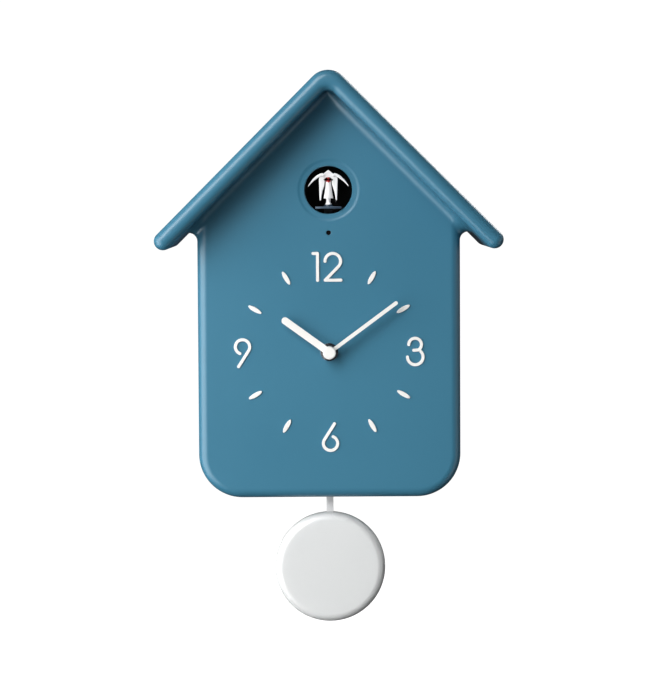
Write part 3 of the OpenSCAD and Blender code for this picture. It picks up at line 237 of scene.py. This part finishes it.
finishes = {
    "bluePlastic": {"slot": "case_blue", "low": rgb(57, 116, 142), "high": rgb(60, 120, 146),
        "rub": rgb(96, 150, 176), "rough": (0.36, 0.39), "bump": 0.012, "ripple": 40, "peel": 260, "dust": 0.06,
        "coat": 0.16, "coatRough": 0.2, "rubStart": 0.66, "spec": 0.55},
    "whiteTrim": {"slot": "white_trim", "low": rgb(236, 234, 230), "high": rgb(246, 245, 242),
        "rub": rgb(252, 252, 250), "rough": (0.26, 0.38), "bump": 0.03, "ripple": 90, "peel": 1600, "dust": 0.06, "coat": 0.2},
    "whiteBob": {"slot": "white_trim", "low": rgb(220, 222, 222), "high": rgb(226, 227, 227),
        "rub": rgb(236, 236, 236), "rough": (0.22, 0.32), "bump": 0.025, "ripple": 45, "peel": 1300, "dust": 0.04,
        "coat": 0.25, "scatter": 0.6, "rubStart": 0.7},
    "rodWhite": {"slot": "white_trim", "low": rgb(242, 242, 242), "high": rgb(248, 248, 248),
        "rub": rgb(252, 252, 252), "rough": (0.3, 0.4), "bump": 0.03, "ripple": 120, "peel": 1500, "dust": 0.02,
        "coat": 0.2, "scatter": 0.5, "rubStart": 0.7},
    "birdWhite": {"slot": "white_part", "low": rgb(240, 241, 243), "high": rgb(247, 247, 248),
        "rub": rgb(252, 252, 252), "rough": (0.3, 0.42), "bump": 0.03, "ripple": 220, "peel": 1800, "dust": 0.0, "coat": 0.15},
    "whitePart": {"slot": "white_part", "low": rgb(218, 217, 212), "high": rgb(230, 229, 225),
        "rub": rgb(240, 240, 238), "rough": (0.42, 0.55), "bump": 0.06, "ripple": 120, "peel": 1500, "dust": 0.08, "coat": 0.0},
    "coverGrey": {"slot": "cover_grey", "low": rgb(66, 70, 74), "high": rgb(82, 86, 90),
        "rub": rgb(96, 100, 104), "rubStart": 0.66, "rough": (0.52, 0.68), "bump": 0.35, "ripple": 300, "peel": 1500, "dust": 0.12, "coat": 0.0},
    "ivoryGear": {"slot": "ivory_gear", "low": rgb(222, 212, 186), "high": rgb(234, 226, 204),
        "rub": rgb(244, 240, 226), "rough": (0.35, 0.48), "bump": 0.05, "ripple": 150, "peel": 1800, "dust": 0.0, "coat": 0.0},
    "blackPart": {"slot": "black_part", "low": rgb(14, 14, 15), "high": rgb(22, 22, 24), "rub": rgb(46, 46, 48),
        "rough": (0.38, 0.55), "bump": 0.12, "ripple": 200, "peel": 1500, "dust": 0.05, "coat": 0.0},
    "redBeak": {"slot": "red_beak", "low": rgb(184, 26, 30), "high": rgb(206, 38, 40), "rub": rgb(226, 92, 88),
        "rough": (0.28, 0.36), "bump": 0.04, "ripple": 200, "peel": 2200, "dust": 0.0, "coat": 0.3},
    "slatePart": {"slot": "slate_part", "low": rgb(38, 52, 66), "high": rgb(54, 72, 90),
        "rub": rgb(128, 148, 166), "rough": (0.2, 0.34), "bump": 0.05, "ripple": 200, "peel": 1600, "dust": 0.04, "coat": 0.5},
    "boardGreen": {"slot": "board_green", "low": rgb(16, 70, 42), "high": rgb(24, 88, 54),
        "rub": rgb(90, 150, 110), "rough": (0.25, 0.4), "bump": 0.1, "ripple": 320, "peel": 900, "dust": 0.05, "coat": 0.4},
    "cellWrap": {"slot": "cell_wrap", "low": rgb(26, 27, 32), "high": rgb(38, 39, 45), "rub": rgb(90, 90, 96),
        "rough": (0.25, 0.35), "bump": 0.05, "ripple": 90, "peel": 1500, "dust": 0.02, "coat": 0.4},
    # the sensor window is coloured near black: painted shade standing in for the dark inside of the sensor's pit
    "sensorPaintedShade": {"slot": "sensor_clear", "low": rgb(22, 18, 18), "high": rgb(34, 28, 27),
        "rub": rgb(60, 52, 50), "rough": (0.08, 0.14), "bump": 0.02, "ripple": 200, "peel": 1500, "dust": 0.0, "coat": 0.5},
    "conePaper": {"slot": "cone_paper", "low": rgb(24, 24, 24), "high": rgb(38, 37, 36), "rub": rgb(70, 70, 70),
        "rough": (0.75, 0.9), "bump": 0.5, "ripple": 400, "peel": 2200, "dust": 0.1, "coat": 0.0},
}
metals = {
    "screwSteel": {"slot": "screw_steel", "low": rgb(150, 152, 154), "high": rgb(196, 197, 198),
        "rough": (0.24, 0.42), "bump": 0.06},
    "darkMetal": {"slot": "dark_metal", "low": rgb(110, 110, 113), "high": rgb(150, 150, 154),
        "rough": (0.18, 0.3), "bump": 0.05},
    "springSteel": {"slot": "spring_steel", "low": rgb(184, 184, 180), "high": rgb(214, 214, 210),
        "rough": (0.14, 0.28), "bump": 0.04},
    "copperWire": {"slot": "copper_wire", "low": rgb(150, 78, 38), "high": rgb(204, 118, 66),
        "rough": (0.22, 0.36), "bump": 0.5},
    "turnedBrass": {"slot": "brass_part", "low": rgb(176, 140, 68), "high": rgb(214, 180, 104),
        "rough": (0.18, 0.32), "bump": 0.06},
}


def place(tree, group, **values):
    node = tree.nodes.new("ShaderNodeGroup")
    node.node_tree = effects[group]
    for label, value in values.items():
        node.inputs[label.replace("_", " ")].default_value = value
    return node


def mixColour(tree, share, a, b):
    node = tree.nodes.new("ShaderNodeMix")
    node.data_type = "RGBA"
    tree.links.new(share, node.inputs["Factor"])
    for socket, value in ((node.inputs["A"], a), (node.inputs["B"], b)):
        if isinstance(value, tuple):
            socket.default_value = value
        else:
            tree.links.new(value, socket)
    return node.outputs["Result"]


def span(tree, value, low, high, fromLow=0.3, fromHigh=0.7):
    node = tree.nodes.new("ShaderNodeMapRange")
    for label, number in (("From Min", fromLow), ("From Max", fromHigh), ("To Min", low), ("To Max", high)):
        node.inputs[label].default_value = number
    tree.links.new(value, node.inputs["Value"])
    return node.outputs["Result"]


def startMaterial(name):
    mat = bpy.data.materials.new(name)
    mat.use_nodes = True
    return mat, mat.node_tree, mat.node_tree.nodes["Principled BSDF"]


plasticSet = {"peelShare": 0.35, "rubStart": 0.56, "rubBreakup": 160, "dustScale": 110,
              "dustTone": rgb(200, 198, 192), "bumpDepth": 0.0004, "coatRough": 0.12, "spec": 0.5,
              "scatterDepth": 0.006}
metalSet = {"along": 60, "across": 2600, "rubStart": 0.53, "rubBreakup": 300, "bumpDepth": 0.0002}


def makePlastic(name, look):
    p = plasticSet
    mat, tree, shader = startMaterial(name)
    skin = place(tree, "mouldSkin", Ripple_Scale=look["ripple"], Peel_Scale=look["peel"],
                 Peel_Share=p["peelShare"])
    rub = place(tree, "edgeRub", Start=look.get("rubStart", p["rubStart"]), Breakup_Scale=p["rubBreakup"])
    dust = place(tree, "dustFilm", Amount=look["dust"], Scale=p["dustScale"])
    tone = mixColour(tree, span(tree, skin.outputs["Mottle"], 0, 1), look["low"], look["high"])
    worn = mixColour(tree, rub.outputs["Mask"], tone, look["rub"])
    dusty = mixColour(tree, dust.outputs["Mask"], worn, p["dustTone"])
    tree.links.new(dusty, shader.inputs["Base Color"])
    tree.links.new(span(tree, skin.outputs["Mottle"], *look["rough"]), shader.inputs["Roughness"])
    bump = tree.nodes.new("ShaderNodeBump")
    bump.inputs["Strength"].default_value = look["bump"]
    bump.inputs["Distance"].default_value = p["bumpDepth"]
    tree.links.new(skin.outputs["Height"], bump.inputs["Height"])
    tree.links.new(bump.outputs["Normal"], shader.inputs["Normal"])
    shader.inputs["Coat Weight"].default_value = look["coat"]
    shader.inputs["Coat Roughness"].default_value = look.get("coatRough", p["coatRough"])
    shader.inputs["Specular IOR Level"].default_value = look.get("spec", p["spec"])
    if "scatter" in look:
        shader.inputs["Subsurface Weight"].default_value = look["scatter"]
        shader.inputs["Subsurface Radius"].default_value = (1, 1, 1)
        shader.inputs["Subsurface Scale"].default_value = p["scatterDepth"]
    return mat


def makeMetal(name, look):
    p = metalSet
    mat, tree, shader = startMaterial(name)
    lines = place(tree, "drawnLines", Along=p["along"], Across=p["across"])
    rub = place(tree, "edgeRub", Start=p["rubStart"], Breakup_Scale=p["rubBreakup"])
    tone = mixColour(tree, span(tree, lines.outputs["Mottle"], 0, 1), look["low"], look["high"])
    tree.links.new(mixColour(tree, rub.outputs["Mask"], tone, look["high"]), shader.inputs["Base Color"])
    tree.links.new(span(tree, lines.outputs["Mottle"], *look["rough"]), shader.inputs["Roughness"])
    bump = tree.nodes.new("ShaderNodeBump")
    bump.inputs["Strength"].default_value = look["bump"]
    bump.inputs["Distance"].default_value = p["bumpDepth"]
    tree.links.new(lines.outputs["Height"], bump.inputs["Height"])
    tree.links.new(bump.outputs["Normal"], shader.inputs["Normal"])
    shader.inputs["Metallic"].default_value = 1.0
    return mat


shades = {name: makePlastic(name, look) for name, look in finishes.items()}
shades.update({name: makeMetal(name, look) for name, look in metals.items()})
print("materials made:", len(shades))

ownWhites = ("whiteBob", "rodWhite", "birdWhite")  # these share a slot and go on by piece
slotShade = {look["slot"]: name for name, look in {**finishes, **metals}.items() if name not in ownWhites}
slotOf = {part["node"]: part["material_slot"] for part in frame["record"]["subparts"]}


for name, obj in nodes.items():
    shade = {"pendulum_bob": "whiteBob", "pendulum_rod": "rodWhite"}.get(name) or slotShade[slotOf[name]]
    while len(obj.material_slots) < 1:
        obj.data.materials.append(shades[shade])
    for slot in obj.material_slots:
        slot.material = shades[shade]


def softenEdges(name, width, angle=40, segments=3):  # CAD pieces keep their mesh and gain a rounded edge
    obj = nodes[name]
    weld = obj.modifiers.new("weld", "WELD")
    weld.merge_threshold = 0.000002
    bevel = obj.modifiers.new("roundedEdges", "BEVEL")
    bevel.width, bevel.segments = width / 1000, segments
    bevel.limit_method, bevel.angle_limit = "ANGLE", math.radians(angle)
    bevel.harden_normals = True
    bevel.use_clamp_overlap = True


softSet = {  # radius of the rounded edge, mm
    "numerals": 0.3, "hour_marks": 0.3, "hour_hand": 0.3, "minute_hand": 0.3, "dial_nut": 0.35,
    "dial_washer": 0.15, "bird_carriage": 0.25, "battery_door": 0.3, "pendulum_rod": 0.3, "test_button": 0.3}
for name, width in softSet.items():
    softenEdges(name, width)
print("carried-over pieces dressed")

# mesh tools


def addPiece(name, verts, faces, shade, body, replaced=(), smooth=True):
    mesh = bpy.data.meshes.new(name)
    mesh.from_pydata([tuple(v) for v in verts], [], faces)
    bm = bmesh.new()
    bm.from_mesh(mesh)
    bmesh.ops.remove_doubles(bm, verts=bm.verts, dist=0.000004)
    bmesh.ops.dissolve_degenerate(bm, edges=bm.edges, dist=0.000002)
    bmesh.ops.recalc_face_normals(bm, faces=bm.faces)
    bm.to_mesh(mesh)
    bm.free()
    obj = bpy.data.objects.new(name, mesh)
    bpy.context.collection.objects.link(obj)
    mesh.materials.append(shades[shade])
    if smooth:
        mesh.shade_smooth()
        mesh.set_sharp_from_angle(angle=math.radians(42))
        weighted = obj.modifiers.new("evenNormals", "WEIGHTED_NORMAL")
        weighted.keep_sharp, weighted.weight = True, 60
    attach(obj, body)
    if replaced:
        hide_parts(*replaced)
    return obj


class Patch:  # collects the faces of one piece
    def __init__(self):
        self.verts, self.faces = [], []

    def loft(self, rings, closed=True):
        first, size = len(self.verts), len(rings[0])
        for ring in rings:
            self.verts += ring
        for r in range(len(rings) - 1):
            for i in range(size if closed else size - 1):
                a, b = first + r * size + i, first + r * size + (i + 1) % size
                self.faces.append((a, b, b + size, a + size))

    def cap(self, ring):
        first = len(self.verts)
        self.verts += ring
        self.faces.append(tuple(range(first, first + len(ring))))

    def fill(self, loops, y):  # flat face in an X-Z plane, with holes
        curve = bpy.data.curves.new("outline", "CURVE")
        curve.dimensions, curve.fill_mode = "2D", "BOTH"
        for loop in loops:
            line = curve.splines.new("POLY")
            line.points.add(len(loop) - 1)
            for point, (x, z) in zip(line.points, loop):
                point.co = (x / 1000, z / 1000, 0, 1)
            line.use_cyclic_u = True
        holder = bpy.data.objects.new("outline", curve)
        bpy.context.collection.objects.link(holder)
        flat = bpy.data.meshes.new_from_object(holder.evaluated_get(bpy.context.evaluated_depsgraph_get()))
        first = len(self.verts)
        self.verts += [spot(v.co.x * 1000, y, v.co.y * 1000) for v in flat.vertices]
        self.faces += [tuple(first + i for i in poly.vertices) for poly in flat.polygons]
        bpy.data.objects.remove(holder)
        bpy.data.curves.remove(curve)
        bpy.data.meshes.remove(flat)


def arcPoints(cx, cz, r, start, end, steps):
    return [(cx + r * math.cos(math.radians(start + (end - start) * i / steps)),
             cz + r * math.sin(math.radians(start + (end - start) * i / steps))) for i in range(steps + 1)]


def circleAt(x, z, r, n):
    turns = [2 * math.pi * i / n for i in range(n)]
    return [(x + r * math.cos(a), z + r * math.sin(a)) for a in turns]


def ringAt(points, y):
    return [spot(x, y, z) for x, z in points]


def turned(profile, cx, cz, steps=96):  # rings of a turned shape about an axis along Y; profile is (radius, y)
    return [[spot(cx + r * math.cos(2 * math.pi * i / steps), y, cz + r * math.sin(2 * math.pi * i / steps))
             for i in range(steps)] for r, y in profile]


# the case: roof, body, face and cove, all sizes in mm from the dial centre

caseSet = {"peak": 204.44, "roofHalf": 122.22, "roofT": 12.7, "ridge": 15, "innerRidge": 6, "front": -120, "face": -91,
           "bodyHalf": 93.25, "drop": 104, "corner": 31, "edge": 7, "nose": 6.1, "wall": 3, "wallFillet": 6, "cove": 7,
           "hole": (0, 114.7, 16.8, 22.0), "sensor": (0, 84.5, 1.65), "slotHalf": 13.94, "slotY": (-76, -66),
           "wallLap": 3, "backEdge": -1.0, "midDepth": -45, "arcSteps": 24}


def roofOutline(k):
    c, root = caseSet, math.sqrt(2)
    ridgeZ = c["peak"] - c["ridge"] * root
    tipX = c["roofHalf"] - c["roofT"] / 2
    tipZ = c["peak"] - c["roofT"] / root - tipX
    line = arcPoints(0, ridgeZ, c["ridge"] - k, 135, 45, 20)
    line += arcPoints(tipX, tipZ, c["roofT"] / 2 - k, 45, -135, 20)
    innerZ = c["peak"] - c["roofT"] * root - c["innerRidge"] * root
    line += arcPoints(0, innerZ, c["innerRidge"] + k, 45, 135, 20)
    line += arcPoints(-tipX, tipZ, c["roofT"] / 2 - k, -45, -225, 20)
    return line


def underCorners(half, low, r):  # the two lower corners, left to right
    steps = caseSet["arcSteps"]
    return arcPoints(-half + r, low + r, r, 180, 270, steps) + arcPoints(half - r, low + r, r, 270, 360, steps)


def bodyChain(k):  # left wall top, down, round the two corners and up the right wall
    c = caseSet
    half, low, r = c["bodyHalf"] - k, -c["drop"] + k, c["corner"] - k
    top = c["peak"] - c["roofT"] * math.sqrt(2) - half + c["wallLap"]
    return [(-half, top)] + underCorners(half, low, r) + [(half, top)]


def makeCase():
    c = caseSet
    patch = Patch()
    # roof: a rolled front edge, then straight back to a small radius at the wall
    rings = []
    for i in range(13):
        a = math.radians(90 * (1 - i / 12))
        k = c["nose"] * (1 - math.cos(a))
        rings.append(ringAt(roofOutline(k), c["front"] + c["nose"] * (1 - math.sin(a))))
    for k, y in ((0, -60), (0, -1.0), (0.3, -0.3), (1.0, 0)):
        rings.append(ringAt(roofOutline(k), y))
    patch.loft(rings)
    nose = roofOutline(c["nose"])
    patch.fill([nose], c["front"])

    # body: side walls, corners and the rounded edge into the face
    chain = bodyChain(0)
    backY, frontY = c["backEdge"], c["face"] + c["edge"]
    middle = len(chain) // 2
    for part in (chain[:middle], chain[middle:]):
        patch.loft([ringAt(part, y) for y in (frontY, c["midDepth"], backY)], closed=False)
    rings = []
    for i in range(13):
        a = math.radians(90 * i / 12)
        k = c["edge"] * (1 - math.cos(a))
        rings.append(ringAt(bodyChain(k), frontY - c["edge"] * math.sin(a)))
    patch.loft(rings, closed=False)
    patch.loft([ringAt(bodyChain(k), y) for k, y in ((0, -1.0), (0.3, -0.3), (1.0, 0))], closed=False)

    # underside with the pendulum's slot
    flatHalf = c["bodyHalf"] - c["corner"]
    y0, y1 = c["slotY"]
    s = c["slotHalf"]
    low = -c["drop"]
    for xa, xb, ya, yb in ((-flatHalf, flatHalf, frontY, y0), (-flatHalf, -s, y0, y1), (s, flatHalf, y0, y1),
                           (-flatHalf, flatHalf, y1, backY)):
        patch.cap([spot(xa, ya, low), spot(xb, ya, low), spot(xb, yb, low), spot(xa, yb, low)])
    slot = [(-s, y0), (s, y0), (s, y1), (-s, y1)]
    patch.loft([[spot(x, y, z) for x, y in slot] for z in (low, low + c["wall"])])

    # face with the openings for the bird and the light sensor
    hx, hz, hr, hRing = c["hole"]
    sx, sz, sr = c["sensor"]
    under = c["peak"] - c["roofT"] * math.sqrt(2)
    face = bodyChain(c["edge"])
    half = c["bodyHalf"] - c["edge"]
    outline = [(-half, under - half)] + face[1:-1] + [(half, under - half), (0, under)]
    patch.fill([outline, circleAt(hx, hz, hRing + 0.6, 96), circleAt(sx, sz, sr + 0.35, 32)], c["face"])
    dish = [(hRing + 0.6, 0), (hRing + 0.2, 0.018), (hRing - 0.3, 0.084), (hRing - 0.8, 0.216), (hRing - 1.3, 0.36),
            (hRing - 1.8, 0.456), (hRing - 2.4, 0.504), (hr + 1.0, 0.552), (hr + 0.45, 0.6), (hr + 0.12, 1.2), (hr, 1.6),
            (hr, 3.4)]  # radius, depth behind the face
    patch.loft(turned([(r, c["face"] + d) for r, d in dish], hx, hz))
    pit = [(sr + 0.35, 0), (sr + 0.1, 0.1), (sr, 0.35), (sr, 3.0)]
    patch.loft(turned([(r, c["face"] + d) for r, d in pit], sx, sz, 32))

    # the cove that joins the roof's underside to the face, the rounded edge and the side wall
    for side in (-1, 1):
        path = []
        for i in range(14):
            path.append((half * i / 13, c["face"], (0.0, -1.0), 0.0))
        for i in range(1, 13):
            phi = math.radians(90 * i / 12)
            n = Vector((math.sin(phi), -math.sqrt(2) * math.cos(phi))).normalized()
            x, y = half + c["edge"] * math.sin(phi), c["face"] + c["edge"] * (1 - math.cos(phi))
            path.append((x, y, tuple(n), i / 12))
        for y in (-60, -30, -1.0):
            path.append((c["bodyHalf"], y, (1.0, 0.0), 1.0))
        rings = []
        wallReach = c["wallFillet"] / math.tan(math.radians(22.5))
        for x, y, (ns, ny), t in path:
            reach = c["cove"] + (wallReach - c["cove"]) * t
            down = c["cove"] * math.sqrt(2) + (wallReach - c["cove"] * math.sqrt(2)) * t
            weight = 0.707 + (0.383 - 0.707) * t
            corner = Vector((x, y, under - x))
            a = corner + Vector((ns / math.sqrt(2), ny, -ns / math.sqrt(2))) * reach
            b = corner + Vector((0, 0, -down))
            ring = []
            for j in range(13):
                u = j / 12
                wa, wc, wb = (1 - u) ** 2, 2 * u * (1 - u) * weight, u * u
                p = (a * wa + corner * wc + b * wb) / (wa + wc + wb)
                ring.append(spot(side * p.x, p.y, p.z))
            rings.append(ring)
        patch.loft(rings, closed=False)

    # back edge, round the cover
    k, rise = c["wall"], c["roofT"] / 2 + 1
    r, low, half = c["corner"] - k, -c["drop"] + k, c["bodyHalf"] - k
    peak = c["peak"] - rise * math.sqrt(2)
    inner = [(-half, peak - half)] + underCorners(half, low, r) + [(half, peak - half), (0, peak)]
    outer = silhouette(1.0)
    patch.fill([outer, inner], 0)
    patch.loft([ringAt(inner, y) for y in (0, -30)])
    return addPiece("caseShell", patch.verts, patch.faces, "bluePlastic", "case", ["housing"])


def silhouette(k):  # the whole back outline, roof and body together, set in by k
    c = caseSet
    root = math.sqrt(2)
    roof = roofOutline(k)
    apex, rightTip, leftTip = roof[:21], roof[21:42], roof[63:84]
    half, low, r = c["bodyHalf"] - k, -c["drop"] + k, c["corner"] - k
    under = c["peak"] - c["roofT"] * root + k * root
    fr = c["wallFillet"] + k
    cx = half + fr
    cz = under - fr * root - cx
    body = arcPoints(cx, cz, fr, 45, 180, 10) + arcPoints(half - r, low + r, r, 0, -90, 24)
    mirrored = [(-x, z) for x, z in reversed(body)]
    return apex + rightTip + body + mirrored + leftTip


makeCase()
print("case shell made")

# pendulum bob

bobSet = {"centre": -155.8, "radius": 39.6, "front": -78, "back": -64, "round": 6.0}


def makeBob():
    b = bobSet
    r, rim, y0, y1 = b["radius"], b["round"], b["front"], b["back"]
    profile = [(0.01, y0), (r - rim - 12, y0), (r - rim - 2, y0 + 0.02)]
    for i in range(13):
        a = math.radians(90 * i / 12)
        profile.append((r - rim + rim * math.sin(a), y0 + rim * (1 - math.cos(a))))
    for i in range(13):
        a = math.radians(90 * (1 - i / 12))
        profile.append((r - rim + rim * math.sin(a), y1 - rim * (1 - math.cos(a))))
    profile += [(r - rim - 2, y1 - 0.02), (r - rim - 12, y1), (0.01, y1)]
    patch = Patch()
    patch.loft(turned(profile, 0, b["centre"], 160))
    return addPiece("bobDisc", patch.verts, patch.faces, "whiteBob", "pendulum", ["pendulum_bob"])


makeBob()
print("bob made")

# the bird

birdSet = {
    "holeUp": 114.7, "front": -92.0, "back": -83.0,
    # right half of the hood and the two tails, from the top down and back up the inside
    "hood": [(0, 14.2), (0.7, 13.75), (2.4, 12.35), (4.6, 10.7), (6.1, 9.5), (6.55, 8.6), (6.65, 6.0), (6.5, 2.0),
             (6.35, -4.0), (6.2, -6.6), (5.9, -7.35), (5.45, -7.3), (5.15, -6.6), (4.75, -3.6), (4.1, -0.6), (3.3, 1.6),
             (2.75, 3.4), (2.55, 5.0), (2.5, 6.4), (2.3, 8.2), (1.2, 8.9)],
    # height, half width, half depth
    "skirt": [(6.6, 2.1, 1.5), (5, 2.15, 1.7), (2, 2.3, 1.9), (-1, 2.6, 2.2), (-4, 3.05, 2.5), (-5.4, 3.35, 2.7),
              (-5.95, 3.3, 2.65)],
    # radius, height
    "post": [(1.6, -5.5), (1.55, -8.8), (1.7, -9.4), (2.25, -9.7), (2.35, -9.95), (2.3, -10.25), (1.6, -10.3),
             (1.6, -13.1)],
    "postY": -88,
    # share of the length, half width
    "wing": [(0.0, 0.95), (0.15, 1.05), (0.4, 1.0), (0.65, 0.8), (0.85, 0.5), (0.97, 0.28), (1.0, 0.1)],
    "wingRoot": (3.75, 11.0), "wingReach": 10.5, "wingPin": (3.75, 10.4),
    # radius, depth behind the front
    "hub": [(0.02, -0.8), (0.75, -0.8), (0.95, -0.65), (1.0, -0.4), (1.0, 0.3), (0.42, 0.3), (0.42, 3.5), (0.02, 3.5)]}


def slabPiece(patch, outline, yFront, yBack, edge):  # flat moulding with a rolled front edge
    cx = sum(p[0] for p in outline) / len(outline)
    cz = sum(p[1] for p in outline) / len(outline)
    normals = []
    n = len(outline)
    for i, (x, z) in enumerate(outline):
        ax, az = outline[i - 1]
        bx, bz = outline[(i + 1) % n]
        d1 = Vector((x - ax, z - az)).normalized()
        d2 = Vector((bx - x, bz - z)).normalized()
        t = (d1 + d2).normalized()
        normals.append(Vector((-t.y, t.x)) / max(0.55, abs(t.dot(d2))))
    area = sum(outline[i - 1][0] * outline[i][1] - outline[i][0] * outline[i - 1][1] for i in range(n))
    sign = 1 if area > 0 else -1
    inset = lambda k: [(p[0] + sign * m.x * k, p[1] + sign * m.y * k) for p, m in zip(outline, normals)]
    rings = [ringAt(outline, yBack), ringAt(outline, yFront + edge)]
    for i in range(1, 6):
        a = math.radians(90 * i / 5)
        rings.append(ringAt(inset(edge * (1 - math.cos(a))), yFront + edge - edge * math.sin(a)))
    patch.loft(rings)
    patch.fill([inset(edge)], yFront)
    patch.fill([outline], yBack)


def makeBird():
    b = birdSet
    up, front, back = b["holeUp"], b["front"], b["back"]
    body = Patch()
    whole = b["hood"] + [(-x, z) for x, z in reversed(b["hood"][1:])]
    slabPiece(body, [(x, z + up) for x, z in whole], front + 0.5, back, 0.55)
    rings = []
    turns = [2 * math.pi * i / 40 for i in range(40)]
    yMid = front + 3.0
    for z, rx, ry in b["skirt"]:  # a little flatter behind than in front
        depths = [ry * math.sin(a) * (1.0 if math.sin(a) < 0 else 0.8) for a in turns]
        rings.append([spot(rx * math.cos(a), yMid + depth, up + z) for a, depth in zip(turns, depths)])
    body.loft(rings)
    body.cap(rings[0])
    body.cap(rings[-1])
    rings = [[spot(r * math.cos(a), b["postY"] + r * math.sin(a), up + z) for a in turns] for r, z in b["post"]]
    body.loft(rings)
    body.cap(rings[-1])
    addPiece("birdBody", body.verts, body.faces, "birdWhite", "bird", ["bird_body"])

    rootX, rootZ = b["wingRoot"]
    pinX, pinZ = b["wingPin"]
    for side, name in ((-1, "left"), (1, "right")):
        wing = Patch()
        rings = []
        for u, half in b["wing"]:
            mid = (rootX + b["wingReach"] * u, rootZ - 8.6 * u * u * 0.8 - 1.5 * u)
            slope = Vector((b["wingReach"], -8.6 * 1.6 * u - 1.5)).normalized()
            across = Vector((-slope.y, slope.x))
            ring = []
            for i in range(20):
                a = 2 * math.pi * i / 20
                w = half * math.cos(a)
                d = 0.5 * math.sin(a) * (0.5 + 0.5 * min(1, half))
                ring.append(spot(side * (mid[0] + across.x * w), front - 0.25 + d, up + mid[1] + across.y * w))
            rings.append(ring)
        wing.loft(rings)
        wing.cap(rings[0])
        wing.cap(rings[-1])
        wing.loft(turned([(r, front + d) for r, d in b["hub"]], side * pinX, up + pinZ, 32))
        node = "wing_" + name
        addPiece("wing" + name.capitalize(), wing.verts, wing.faces, "birdWhite", node, [node])


makeBird()
print("bird made")
